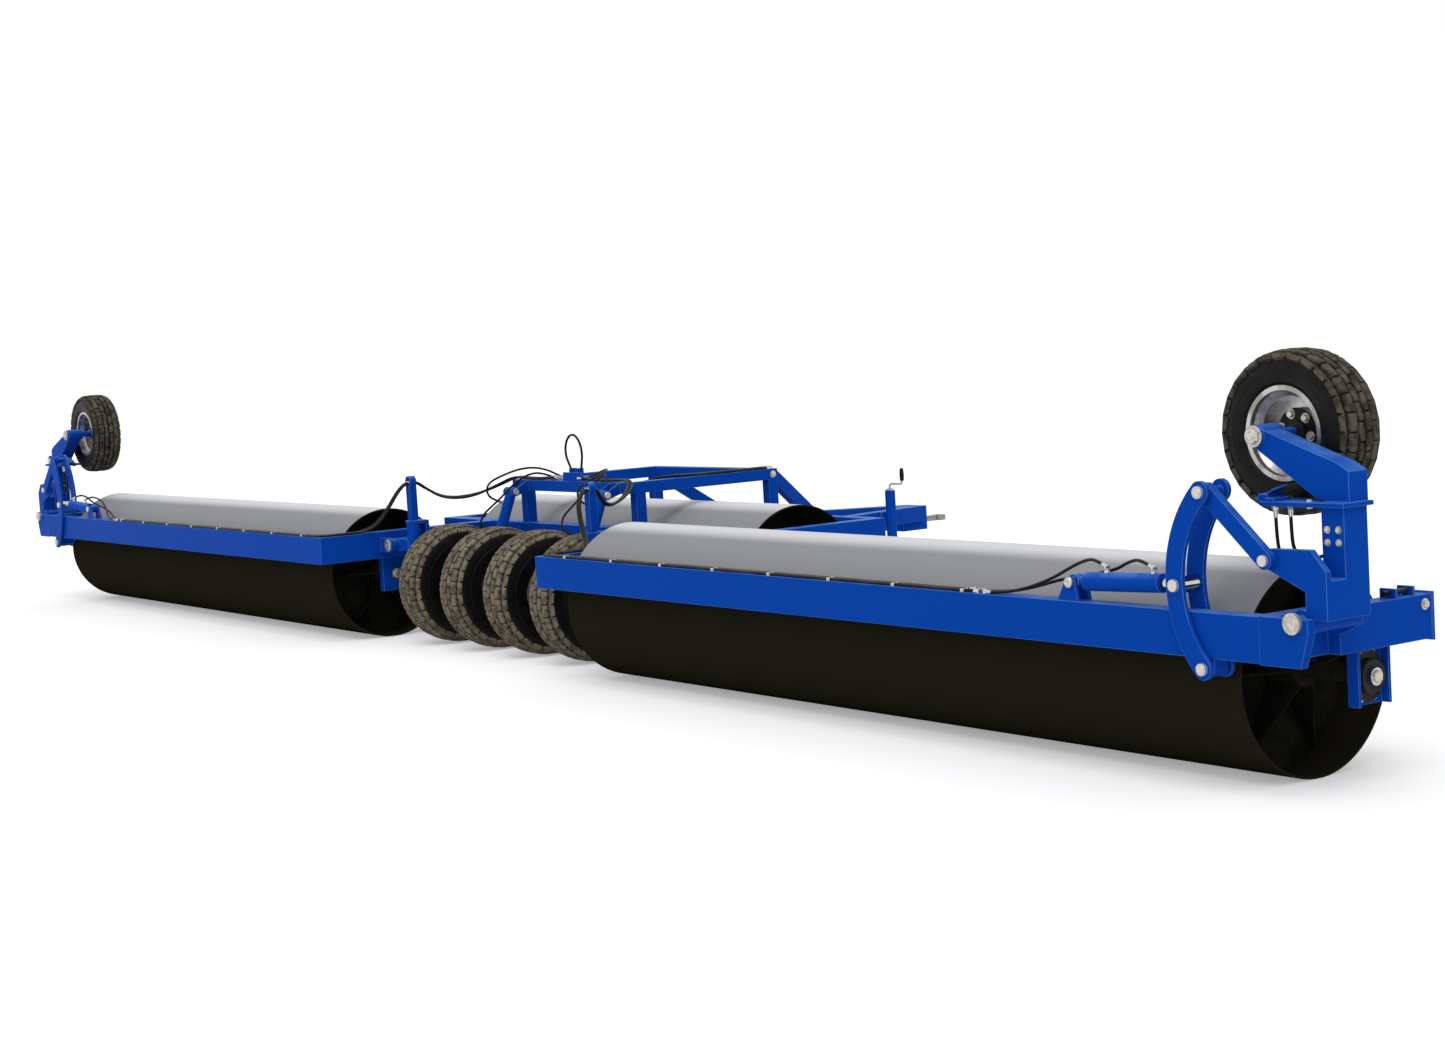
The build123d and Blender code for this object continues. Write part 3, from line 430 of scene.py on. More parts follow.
TREAD_LOOK = dict(mottle=18.0, dust=0.0, upward=0.12, roughness=(0.75, 0.9), shine=0.03, grain=260.0,
                  bump=0.2)
PLAIN_FINISHES = {
    # Discs, ribs and shafts of the drums
    "drum_inside": dict(tone="drum_dark", other="black", mottle=5.0, dust=0.04, upward=0.0, shine=0.0,
                        roughness=(0.45, 0.7), grain=160.0, bump=0.06, dust_and_sheen_tone="tread_dark"),
    "sidewall_rubber": dict(tone="rubber", other="groove", mottle=12.0, dust=0.03, upward=0.0,
                            roughness=(0.42, 0.7), grain=240.0, bump=0.06, dust_and_sheen_tone="tread_dark"),
    # Tread blocks, dusty on the axle and cleaner on the support wheels
    "tread_rubber_axle": dict(tone="tread_dust", other="tread_dark", **TREAD_LOOK),
    "tread_rubber_support": dict(tone="clean_tread", other="clean_dark", **TREAD_LOOK),
    "rim_silver_paint": dict(tone="silver", other="steel", mottle=9.0, dust=0.12, upward=0.1,
                             roughness=(0.28, 0.5), metal=0.85, grain=350.0, bump=0.05),
    "zinc_plate": dict(tone="zinc", other="zinc_worn", mottle=45.0, dust=0.02, upward=0.05,
                       roughness=(0.32, 0.5), metal=0.7, grain=500.0),
    # The towing eye
    "bare_steel": dict(tone="steel", other="steel_dark", mottle=22.0, dust=0.06, upward=0.1,
                       roughness=(0.42, 0.6), metal=0.85, grain=200.0, bump=0.2),
    # The cylinders' rods
    "hard_chrome": dict(tone="silver", other="zinc", mottle=20.0, dust=0.0, upward=0.0,
                        roughness=(0.1, 0.2), metal=1.0, grain=600.0, bump=0.02),
    "black_paint": dict(tone="black", other="groove", mottle=20.0, upward=0.1, roughness=(0.35, 0.6),
                        bump=0.1),
    "hose_rubber": dict(tone="black", other="groove", mottle=30.0, dust=0.05, upward=0.1,
                        roughness=(0.38, 0.6), grain=900.0, bump=0.1),
    # Hose ends and elbows
    "steel_tube": dict(tone="zinc", other="silver", mottle=50.0, dust=0.02, upward=0.1,
                       roughness=(0.22, 0.4), metal=0.9, grain=600.0, bump=0.05),
    "clip_plastic": dict(tone="silver", other="zinc", mottle=30.0, dust=0.05, upward=0.1,
                         roughness=(0.4, 0.6), grain=500.0, bump=0.05),
}


def plain(name):
    """One of the plain finishes."""
    return finish(name, **PLAIN_FINISHES[name])


# Mesh makers


def turns(count):
    """Even turns round a circle."""
    return [2 * math.pi * k / count for k in range(count)]


def lathe(outline, steps, closed=False):
    """A mesh turned about Z from an outline of radius and height. An open outline may end on the axis."""
    bm = bmesh.new()
    rings = []
    for r, z in outline:
        if r < 1e-6:
            rings.append([bm.verts.new((0, 0, z))])
            continue
        rings.append([bm.verts.new((r * math.cos(t), r * math.sin(t), z)) for t in turns(steps)])
    pairs = list(zip(rings, rings[1:]))
    if closed:
        pairs.append((rings[-1], rings[0]))
    for first, second in pairs:
        for k in range(steps):
            after = (k + 1) % steps
            corners = [first[k % len(first)], first[after % len(first)],
                       second[after % len(second)], second[k % len(second)]]
            bm.faces.new(list(dict.fromkeys(corners)))
    bmesh.ops.recalc_face_normals(bm, faces=bm.faces)
    return bm


def skin(bm, rings):
    """Joins rings of corners with walls and closes both ends."""
    count = len(rings[0])
    for first, second in zip(rings, rings[1:]):
        for k in range(count):
            after = (k + 1) % count
            bm.faces.new((first[k], first[after], second[after], second[k]))
    bm.faces.new(list(reversed(rings[0])))
    bm.faces.new(rings[-1])
    bmesh.ops.recalc_face_normals(bm, faces=bm.faces)
    return bm


def prism(outline, height, chamfer=0.0):
    """A plate from an outline in X and Y, from Z 0 up to height, its upper edge chamfered."""
    bm = bmesh.new()
    levels = [(0.0, 0.0), (height - chamfer, 0.0)]
    if chamfer:
        levels.append((height, chamfer))
    mid = sum((Vector(p) for p in outline), Vector((0, 0))) / len(outline)
    rings = []
    for z, inset in levels:
        ring = []
        for p in outline:
            out = Vector(p) - mid
            ring.append(bm.verts.new((*(mid + out * max(0.0, 1 - inset / out.length)), z)))
        rings.append(ring)
    return skin(bm, rings)


def regular(count, radius):
    """The corners of a regular polygon."""
    return [(radius * math.cos(t), radius * math.sin(t)) for t in turns(count)]


def axes(place, toward, side=(0, 0, 1)):
    """A place whose Z looks toward a direction and whose X lies near side."""
    z = Vector(toward).normalized()
    x = Vector(side) - z * z.dot(Vector(side))
    if x.length < 1e-3:
        x = Vector((1, 0, 0)) - z * z.x
    x.normalize()
    turned = Matrix((x, z.cross(x), z)).transposed().to_4x4()
    return Matrix.Translation(Vector(place)) @ turned


def moved(bm, place):
    """The mesh itself, carried to a place."""
    bmesh.ops.transform(bm, matrix=place, verts=bm.verts)
    return bm


def to_mesh(name, bm):
    """A mesh with its data made from a working one, which is freed."""
    mesh = bpy.data.meshes.new(name)
    bm.to_mesh(mesh)
    bm.free()
    return mesh


def new_object(name, data):
    """A new object in the scene."""
    made = bpy.data.objects.new(name, data)
    bpy.context.scene.collection.objects.link(made)
    return made


def merge(into, extra, place=None, material=0):
    """Adds one mesh to another at a place, with its own material slot."""
    for face in extra.faces:
        face.material_index = material
    spare = to_mesh("spare", extra)
    if place is not None:
        spare.transform(place)
    into.from_mesh(spare)
    bpy.data.meshes.remove(spare)


# Faces that meet at more than this angle keep a sharp edge.
SHARP_ANGLE = math.radians(35)


def shown(name, bm, materials, body):
    """Turns a mesh into a piece that rides on a body."""
    mesh = to_mesh(name, bm)
    for made in materials:
        mesh.materials.append(made)
    piece = new_object(name, mesh)
    mesh.shade_smooth()
    mesh.set_sharp_from_angle(angle=SHARP_ANGLE)
    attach(piece, body)
    return piece


def hex_head(radius, height):
    """A hexagon head or nut with a chamfered top, on its washer."""
    bm = prism(regular(6, radius), height, radius * 0.12)
    merge(bm, lathe([(0, 0), (radius * 1.35, 0), (radius * 1.35, height * 0.22), (0, height * 0.22)], 20))
    return bm


def round_head(radius, height):
    """A turned pin head with a chamfer and a shallow centre mark."""
    rim = radius * 0.86
    return lathe([(0, 0), (radius, 0), (radius, height * 0.7), (rim, height), (radius * 0.2, height),
                  (radius * 0.12, height * 0.8), (0, height * 0.8)], 28)


# Geometry Nodes


def repeat_tree(name, inputs):
    """A tree with a Piece, a Count and a Finish, and its own further inputs."""
    tree = bpy.data.node_groups.new(name, "GeometryNodeTree")
    tree.interface.new_socket("Geometry", in_out="INPUT", socket_type="NodeSocketGeometry")
    tree.interface.new_socket("Piece", in_out="INPUT", socket_type="NodeSocketObject")
    tree.interface.new_socket("Count", in_out="INPUT", socket_type="NodeSocketInt").default_value = 8
    for label, kind in inputs:
        tree.interface.new_socket(label, in_out="INPUT", socket_type=kind)
    tree.interface.new_socket("Finish", in_out="INPUT", socket_type="NodeSocketMaterial")
    tree.interface.new_socket("Geometry", in_out="OUTPUT", socket_type="NodeSocketGeometry")
    return tree, add_node(tree, "NodeGroupInput").outputs


def end_repeat(tree, given, place, turn):
    """Puts the piece on each point, makes the copies real and gives them their material."""
    spots = add_node(tree, "GeometryNodePoints")
    wire(tree, given["Count"], spots.inputs["Count"])
    wire(tree, place, spots.inputs["Position"])
    source = add_node(tree, "GeometryNodeObjectInfo")
    wire(tree, given["Piece"], source.inputs["Object"])
    copies = add_node(tree, "GeometryNodeInstanceOnPoints")
    wire(tree, spots.outputs[0], copies.inputs["Points"])
    wire(tree, source.outputs["Geometry"], copies.inputs["Instance"])
    wire(tree, turn, copies.inputs["Rotation"])
    real = add_node(tree, "GeometryNodeRealizeInstances")
    wire(tree, copies.outputs[0], real.inputs[0])
    painted = add_node(tree, "GeometryNodeSetMaterial")
    wire(tree, real.outputs[0], painted.inputs["Geometry"])
    wire(tree, given["Finish"], painted.inputs["Material"])
    wire(tree, painted.outputs[0], add_node(tree, "NodeGroupOutput").inputs[0])


def round_tree():
    """Repeats a piece round the Z axis. The piece looks outward along its own X and may lean toward Z."""
    tree, given = repeat_tree("repeat_round", [
        ("Radius", FLOAT), ("Offset", FLOAT), ("Lean", FLOAT), ("Start", FLOAT)])
    step = calculate(tree, "DIVIDE", 2 * math.pi, given["Count"], clamp=False)
    index = add_node(tree, "GeometryNodeInputIndex").outputs[0]
    angle = calculate(tree, "MULTIPLY_ADD", index, step, given["Start"], clamp=False)
    shares = (calculate(tree, share, angle, clamp=False) for share in ("COSINE", "SINE"))
    x, y = (calculate(tree, "MULTIPLY", share, given["Radius"], clamp=False) for share in shares)
    place = fill(tree, add_node(tree, "ShaderNodeCombineXYZ"), x, y, given["Offset"])[0]
    turn = fill(tree, add_node(tree, "ShaderNodeCombineXYZ"), 0.0, given["Lean"], angle)[0]
    end_repeat(tree, given, place, turn)
    return tree


def row_tree():
    """Repeats a piece along a straight line by an even step."""
    tree, given = repeat_tree("repeat_row", [("From", VECTOR), ("Step", VECTOR)])
    index = add_node(tree, "GeometryNodeInputIndex").outputs[0]
    place = vector_math(tree, "MULTIPLY_ADD", given["Step"], index, given["From"])["Vector"]
    end_repeat(tree, given, place, (0.0, 0.0, 0.0))
    return tree


TREE_MAKERS = {"repeat_round": round_tree, "repeat_row": row_tree}


def repeated(tree_name, piece_bm, material, **values):
    """Runs one of the repeating trees on a piece and gives the result as a mesh."""
    tree = bpy.data.node_groups.get(tree_name) or TREE_MAKERS[tree_name]()
    source = new_object("repeat_source", to_mesh("repeat_source", piece_bm))
    carrier = new_object("repeat_carrier", bpy.data.meshes.new("repeat_carrier"))
    modifier = carrier.modifiers.new("repeat", "NODES")
    modifier.node_group = tree
    named = {item.name: item.identifier for item in tree.interface.items_tree if item.in_out == "INPUT"}
    for label, value in {"Piece": source, "Finish": material, **values}.items():
        modifier[named[label]] = value
    graph = bpy.context.evaluated_depsgraph_get()
    result = bpy.data.meshes.new_from_object(carrier.evaluated_get(graph))
    bm = bmesh.new()
    bm.from_mesh(result)
    carrier.modifiers.remove(modifier)
    for made in (source, carrier):
        bpy.data.objects.remove(made)
    bpy.data.meshes.remove(result)
    return bm


# Finishes of the solid model's own pieces


# The Y behind which a linkage piece is the zinc of its own pins: the face of its plate.
PIN_FACES = {
    "rocker": low("rocker_right").y + 0.0175,
    "link": low("link_right").y + 0.0135,
    "tower": low("tower_right").y + 0.030,
    "ram_barrel": low("ram_barrel_right").y + 0.0092,
}


# What a node's name holds, and the plain finish that it gets for it.
NODE_FINISHES = {
    "drum_spider": "drum_inside", "rim": "rim_silver_paint", "tyre": "sidewall_rubber",
    "ram_rod": "hard_chrome", "lift_rod": "hard_chrome", "tow_eye": "bare_steel", "jack_leg": "zinc_plate",
}


def node_finish(name):
    """The material of a solid piece, by what its name says it is."""
    if "drum_shell" in name:
        return drum_with_painted_reflection(name)
    for part, plain_name in NODE_FINISHES.items():
        if part in name:
            return plain(plain_name)
    for stem, y in PIN_FACES.items():
        if name.startswith(stem):
            return blue_enamel("blue_" + stem, y)
    return blue_enamel()


class ROLLER_OT_finishes(bpy.types.Operator):
    """Gives every piece of the solid model its finish"""

    bl_idname = "roller.finishes"
    bl_label = "Finishes"

    def execute(self, context):
        for name, node in frame["nodes"].items():
            node.data.materials.clear()
            node.data.materials.append(node_finish(name))
        return {"FINISHED"}


# Tyres. Each row of tread is its block's outline across and along the tread, its place across and its
# width as shares of the tyre's width, how far it drops below the crown as a share of the sidewall's
# height, its lean in degrees and its turn as a share of the pitch.

RIB = ((-0.34, -0.44), (0.20, -0.44), (0.50, -0.02), (0.34, 0.44), (-0.20, 0.44), (-0.50, 0.02))
SHOULDER = ((-0.50, -0.44), (0.34, -0.44), (0.50, -0.22), (0.34, 0.02), (0.50, 0.26), (0.36, 0.44),
            (-0.50, 0.44))
LUG = ((-0.46, -0.50), (0.40, -0.34), (0.40, 0.34), (-0.46, 0.50))
TREAD_ROWS = (
    (RIB, 0.094, 0.156, 0.0, 0, 0.0),
    (SHOULDER, 0.282, 0.176, 0.020, 8, 0.5),
    (LUG, 0.424, 0.130, 0.120, 50, 0.5),
)


# How far a block reaches into the tyre, and how far it stands below the crown, so that its flat face
# stays inside the tyre's own radius.
BLOCK_ROOT = 0.010
BLOCK_SAG = 0.0035
BLOCK_CHAMFER = 0.0025
BEAD_R = 0.2015
AXLE_BLOCKS, SUPPORT_BLOCKS = 30, 26
OUTWARD = Matrix(((0, 0, 1), (0, 1, 0), (-1, 0, 0))).to_4x4()

# One side of a tyre's outline: the height above the bead as a share of the sidewall's height, and the
# half width as a share of the tyre's width.
TYRE_PROFILE = (
    (0.0, 0.37), (0.06, 0.405), (0.12, 0.425), (0.15, 0.45), (0.22, 0.475), (0.38, 0.494), (0.46, 0.494),
    (0.47, 0.499), (0.51, 0.499), (0.52, 0.491), (0.60, 0.486), (0.72, 0.47), (0.83, 0.445), (0.91, 0.40),
    (0.965, 0.33), (0.99, 0.20),
)


def tyre_section(radius, width):
    """The tyre's outline as radius and height, from one bead over the crown to the other."""
    crown = radius - sizes().block_h
    side = [(BEAD_R + up * (crown - BEAD_R), share) for up, share in TYRE_PROFILE]
    lower = [(r, -share * width) for r, share in side]
    return lower + [(crown, 0.0)] + [(r, share * width) for r, share in reversed(side)]


def tread_block(outline, pitch, width, height):
    """One block that looks outward along X, its outline along Y and Z."""
    flat = [(across * width, along * pitch) for across, along in outline]
    bm = prism(flat, height + BLOCK_ROOT, BLOCK_CHAMFER)
    return moved(bm, Matrix.Translation((-BLOCK_ROOT, 0, 0)) @ OUTWARD)


def dressed_tyre(node, body, toward, count):
    """A round tyre with its tread, in place of a plain one."""
    tread = plain("tread_rubber_" + ("axle" if node.startswith("axle") else "support"))
    span = high(node) - low(node)
    width = min(span)
    radius = max(span) / 2
    block_h = sizes().block_h
    bm = lathe(tyre_section(radius, width), 96, closed=True)
    for outline, share, wide, drop, lean, turn in TREAD_ROWS:
        pitch = 2 * math.pi * radius / count
        for side in (-1, 1):
            shape = [(-side * across, along) for across, along in outline]
            row = repeated(
                "repeat_round", tread_block(shape, pitch, wide * width, block_h), tread, Count=count,
                Radius=radius - block_h - drop * (radius - BEAD_R) - BLOCK_SAG,
                Offset=side * share * width, Lean=-side * math.radians(lean),
                Start=(turn + 0.25 * (side + 1)) * 2 * math.pi / count)
            merge(bm, row, material=1)
    moved(bm, axes(middle(node), toward))
    piece = shown(node + "_dressed", bm, [plain("sidewall_rubber"), tread], body)
    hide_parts(node)


class ROLLER_OT_tyres(bpy.types.Operator):
    """Makes the six tyres with their tread"""

    bl_idname = "roller.tyres"
    bl_label = "Tyres"

    def execute(self, context):
        for k in AXLE_WHEELS:
            dressed_tyre(f"axle_tyre_{k}", f"axle_wheel_{k}", (1, 0, 0), AXLE_BLOCKS)
        for _, side in SIDES:
            dressed_tyre(f"support_tyre_{side}", f"support_wheel_{side}", (0, -1, 0), SUPPORT_BLOCKS)
        return {"FINISHED"}


# Hubs and wheel nuts


HUB_NUTS = 6
NUT_CIRCLE_R = 0.084


def add_hub_face(into, place, toward):
    """Adds a hub's black flange with its cap, and its ring of zinc nuts."""
    at = axes(place, toward)
    merge(into, lathe([(0, 0), (0.108, 0), (0.108, 0.005), (0.104, 0.009), (0.062, 0.011), (0.056, 0.030),
                       (0.050, 0.034), (0, 0.034)], 48), at, 0)
    nut = hex_head(sizes().nut_r, 0.018)
    merge(into, repeated("repeat_round", nut, plain("zinc_plate"), Count=HUB_NUTS, Radius=NUT_CIRCLE_R,
                         Offset=0.009, Lean=0.0, Start=0.3), at, 1)


class ROLLER_OT_hubs(bpy.types.Operator):
    """Makes the wheels' black hubs and their nuts"""

    bl_idname = "roller.hubs"
    bl_label = "Hubs"

    def execute(self, context):
        materials = [plain("black_paint"), plain("zinc_plate")]
        for k in AXLE_WHEELS:
            bm = bmesh.new()
            for side in (-1, 1):
                add_hub_face(bm, middle(f"axle_rim_{k}") + Vector((side * 0.030, 0, 0)), (side, 0, 0))
            shown(f"axle_hub_{k}", bm, materials, f"axle_wheel_{k}")
        for _, side in SIDES:
            bm = bmesh.new()
            for out, toward in ((-0.010, (0, -1, 0)), (0.050, (0, 1, 0))):
                add_hub_face(bm, pivot(f"support_wheel_{side}_turn") + Vector((0, out, 0)), toward)
            shown(f"support_hub_{side}", bm, materials, f"support_wheel_{side}")
        return {"FINISHED"}


# Pins, nuts and bolts. Each spot is for the right side: its body, its kind, its place and the way it
# faces. A body's name that ends in _ gets the side's name, and the left side is mirrored.


def fastener(kind):
    """One pin head, nut or bolt, which stands on Z 0."""
    given = sizes()
    maker, radius, height = {
        "pin": (round_head, given.pin_r, given.pin_h),
        "pivot": (round_head, given.pivot_r, 0.014),
        "bolt": (hex_head, given.bolt_r, given.bolt_r * 0.9),
        "big_bolt": (hex_head, given.bolt_r * 1.6, given.bolt_r * 1.3),
        "nut": (hex_head, 0.036, 0.018),
        "shaft_nut": (hex_head, 0.030, 0.018),
    }[kind]
    return maker(radius, height)


OUTER_ARM_X = high("wing_hangers_right").x + 0.035
OUTER_SHAFT_X = high("wing_drum_spider_right").x - 0.002
INNER_SHAFT_X = low("wing_drum_spider_right").x + 0.002


def right_side_spots():
    """Every fastener of the right side."""
    hub = pivot("support_wheel_right_turn")
    ram = pivot("ram_swing_right")
    float_pin = pivot("float_right")
    king = middle("knuckle_right")
    lift = pivot("lift_ram_right_swing")
    tower = pivot("tower_right")
    wing_shaft = pivot("wing_drum_right_turn")
    hanger_face = high("wing_hangers_right").x - 0.045
    post_back = tower.y + 0.1225
    post_x = (tower.x + 0.05, tower.x + 0.11)
    spots = [
        ("tower_", "nut", (hub.x, post_back + 0.022, hub.z), (0, -1, 0)),
        ("tower_", "pivot", (tower.x, low("tower_right").y + 0.008, tower.z), (0, -1, 0)),
        ("tower_", "bolt", (tower.x + 0.075, -2.28, 1.0), (0, 0, 1)),
        ("ram_barrel_", "pin", (ram.x, low("ram_barrel_right").y + 0.004, ram.z), (0, -1, 0)),
        ("wing_", "big_bolt", (OUTER_ARM_X, -1.43, 0.79), (1, 0, 0)),
        ("wing_drum_", "shaft_nut", (OUTER_SHAFT_X, wing_shaft.y, wing_shaft.z), (1, 0, 0)),
        ("wing_drum_", "shaft_nut", (INNER_SHAFT_X, wing_shaft.y, wing_shaft.z), (-1, 0, 0)),
        ("knuckle_", "nut", (pivot("fold_right").x, king.y, low("knuckle_right").z + 0.014), (0, 0, -1)),
        ("centre_drum", "shaft_nut", (high("centre_drum_spider").x - 0.002, -0.445, 0.5), (1, 0, 0)),
        ("centre", "big_bolt", (high("gantry").x - 0.001, 0.135, 1.15), (1, 0, 0)),
    ]
    for x in post_x:
        for z in (1.15, 1.205):
            spots.append(("tower_", "bolt", (x, post_back, z), (0, -1, 0)))
    for y in (-2.205, -2.095):
        for x in (7.66, 7.86):
            spots.append(("tower_", "bolt", (x, y, 1.32), (0, 0, 1)))
            spots.append(("tower_", "bolt", (x, y, 1.30), (0, 0, -1)))
    for side in (-1, 1):
        spots.append(("wing_", "pivot", (float_pin.x, float_pin.y + side * 0.136, float_pin.z), (0, side, 0)))
        spots.append(("lift_barrel_", "pin", (lift.x + side * 0.066, lift.y, lift.z), (side, 0, 0)))
        for z in (-0.1, 0.1):
            place = (hanger_face, wing_shaft.y + side * 0.042, wing_shaft.z + z)
            spots.append(("wing_", "bolt", place, (1, 0, 0)))
    return spots


class ROLLER_OT_fasteners(bpy.types.Operator):
    """Makes the pin heads, nuts and bolts"""

    bl_idname = "roller.fasteners"
    bl_label = "Pins and bolts"

    def execute(self, context):
        meshes = {}
        for sign, side in SIDES:
            for stem, kind, place, toward in right_side_spots():
                at = axes(to_side(place, sign), to_side(toward, sign))
                merge(meshes.setdefault(on_side(stem, side), bmesh.new()), fastener(kind), at)
        for body, bm in meshes.items():
            shown("fasteners_" + body, bm, [plain("zinc_plate")], body)
        return {"FINISHED"}


# Bearing housings, brackets and other small pieces


def stadium_outline(half_length, half_width, arcs=10):
    """A slot shape's corners, long in Y."""
    straight = half_length - half_width
    corners = []
    for end, first in ((1, 0.0), (-1, math.pi)):
        for k in range(arcs + 1):
            turn = first + math.pi * k / arcs
            corners.append((half_width * math.cos(turn), end * straight + half_width * math.sin(turn)))
    return corners


def box_mesh(low_corner, high_corner, chamfer=0.003):
    """A box between two corners with small chamfers along its upper edges."""
    start, end = Vector(low_corner), Vector(high_corner)
    mid = (start + end) / 2
    half = (end - start) / 2
    flat = [(-half.x, -half.y), (half.x, -half.y), (half.x, half.y), (-half.x, half.y)]
    return moved(prism(flat, 2 * half.z, chamfer), Matrix.Translation((mid.x, mid.y, start.z)))


def joined_boxes(corners):
    """Several boxes as one mesh, each given by its two corners."""
    bm = bmesh.new()
    for low_corner, high_corner in corners:
        merge(bm, box_mesh(low_corner, high_corner))
    return bm


def mirrored(bm, sign):
    """The mesh itself for the right side, or its mirror image for the left."""
    if sign < 0:
        moved(bm, Matrix.Scale(-1, 4, (1, 0, 0)))
        bmesh.ops.recalc_face_normals(bm, faces=bm.faces)
    return bm


def bearing_housing():
    """The dark oval housing round the outer shaft bearing, between the hanger's flanges."""
    shaft = pivot("wing_drum_right_turn")
    face = high("wing_hangers_right").x - 0.0455
    bm = bmesh.new()
    merge(bm, prism(stadium_outline(0.122, 0.088), 0.012, 0.002),
          axes((face, shaft.y, shaft.z), (1, 0, 0), (0, 1, 0)))
    ring = [(0.044, 0.0), (0.080, 0.0), (0.080, 0.034), (0.076, 0.042), (0.044, 0.042)]
    merge(bm, lathe(ring, 40, closed=True), axes((face, shaft.y, shaft.z), (1, 0, 0)))
    return bm


# The heights of the faces that small pieces stand on, each just inside its part
BEAM_TOP_Z = 0.8345
ARM_TOP_Z = 0.834
JOINT_PLATE_Z = 1.318
TUBE_TOP_Z = 1.189


def joint_flap():
    """The bent flap with its latch plate on the inner end of the tower's joint plate."""
    bm = joined_boxes(((x, -2.235, JOINT_PLATE_Z), (x + 0.045, -2.115, top))
                      for x, top in ((7.600, 1.352), (7.640, 1.334)))
    plate = [(-0.045, -0.055), (0.07, -0.04), (0.085, 0.03), (0.02, 0.055), (-0.045, 0.05)]
    merge(bm, prism(plate, 0.008, 0.002), axes((7.615, -2.175, 1.345), (-0.45, -0.1, 1), (1, 0, 0)))
    return bm


def arm_latch():
    """The locking lever's bracket on top of the outer arm."""
    ears = [((7.735, y, ARM_TOP_Z), (7.825, y + 0.012, 0.878)) for y in (-1.62, -1.50)]
    return joined_boxes([*ears, ((7.745, -1.62, ARM_TOP_Z), (7.757, -1.49, 0.862))])


CLIP_COUNT = 8
CLIP_STEP = 0.545


def beam_clips():
    """The white clips that hold the hoses along the rear beam's top."""
    clip = box_mesh((-0.012, -0.026, 0), (0.012, 0.026, 0.017), 0.004)
    return repeated("repeat_row", clip, plain("clip_plastic"), Count=CLIP_COUNT,
                    From=(1.95, -2.352, BEAM_TOP_Z), Step=(CLIP_STEP, 0, 0))


def ram_elbows():
    """Steel elbows that stand on the tower cylinder under its two hoses' ends."""
    ram = pivot("ram_swing_right")
    bm = bmesh.new()
    for x in (6.755, 7.055):
        foot = ram.z + 0.036 * (x - ram.x) + 0.036
        merge(bm, lathe([(0, 0), (0.014, 0), (0.014, 0.016), (0.009, 0.018), (0.009, 0.040), (0, 0.044)], 18),
              axes((x, ram.y, foot), (0, 0, 1)))
    return bm


def latch_rod():
    """The black locking rod across the outer arm's bracket."""
    rod = lathe([(0, 0), (0.011, 0), (0.011, 0.19), (0.008, 0.196), (0, 0.196)], 16)
    return moved(rod, axes((7.79, -1.66, 0.860), (0, 1, 0)))


def hose_bridge():
    """The blue plate on the gantry's rear tube that the hoses are tied to."""
    ears = [((x, -1.13, 1.19), (x + 0.010, -1.065, 1.285)) for x in (0.02, 0.11)]
    return joined_boxes([((-0.06, -1.135, TUBE_TOP_Z), (0.20, -1.127, 1.255)),
                         ((0.01, -1.130, TUBE_TOP_Z), (0.13, -1.060, 1.199)), *ears])


def jack_crank():
    """The crank on top of the parking jack, with its grip."""
    x, y = middle("jack_tube").xy
    top = high("jack_tube").z
    bends = ((0, -0.01), (0, 0.035), (0.02, 0.052), (0.14, 0.052), (0.155, 0.066), (0.155, 0.08))
    bm = tube([Vector((x + out, y, top + up)) for out, up in bends], 0.008)
    merge(bm, lathe([(0, 0), (0.016, 0), (0.018, 0.05), (0.014, 0.095), (0, 0.10)], 18),
          axes((x + 0.155, y, top + 0.078), (0, 0, 1)), 1)
    merge(bm, lathe([(0, 0), (0.034, 0), (0.034, 0.010), (0.020, 0.018), (0, 0.018)], 24),
          axes((x, y, top - 0.002), (0, 0, 1)))
    return bm


class ROLLER_OT_small_pieces(bpy.types.Operator):
    """Makes the bearing housings, clips, latches and brackets"""

    bl_idname = "roller.small_pieces"
    bl_label = "Small pieces"

    def execute(self, context):
        black, blue = plain("black_paint"), blue_enamel()
        for sign, side in SIDES:
            for name, bm, material, body, slot in (
                ("bearing_housing", bearing_housing(), black, "wing", "drum_paint"),
                ("joint_flap", joint_flap(), blue, "tower", "blue_paint"),
                ("arm_latch", arm_latch(), blue, "wing", "blue_paint"),
                ("latch_rod", latch_rod(), black, "wing", "forged_steel"),
                ("beam_clips", beam_clips(), plain("clip_plastic"), "wing", "zinc"),
                ("ram_elbows", ram_elbows(), plain("steel_tube"), "ram_barrel", "zinc"),
            ):
                piece = shown(f"{name}_{side}", mirrored(bm, sign), [material], f"{body}_{side}")
        shown("hose_bridge", hose_bridge(), [blue], "centre")
        shown("jack_crank", jack_crank(), [plain("zinc_plate"), black], "centre")
        return {"FINISHED"}


# Hoses. Each route is for the right side, in metres: its name, its body or the two bodies that its two ends
# ride on with two places between them, its diameter and its points.


def smooth_path(points):
    """Close points along one smooth curve through a given route."""
    curve = bpy.data.curves.new("route", "CURVE")
    curve.dimensions = "3D"
    spline = curve.splines.new("NURBS")
    spline.points.add(len(points) - 1)
    for spot, place in zip(spline.points, points):
        spot.co = (*place, 1.0)
    spline.order_u = 3
    spline.use_endpoint_u = True
    spline.resolution_u = 8
    carrier = new_object("route", curve)
    graph = bpy.context.evaluated_depsgraph_get()
    mesh = bpy.data.meshes.new_from_object(carrier.evaluated_get(graph))
    path = [vertex.co.copy() for vertex in mesh.vertices]
    bpy.data.meshes.remove(mesh)
    bpy.data.objects.remove(carrier)
    bpy.data.curves.remove(curve)
    return path


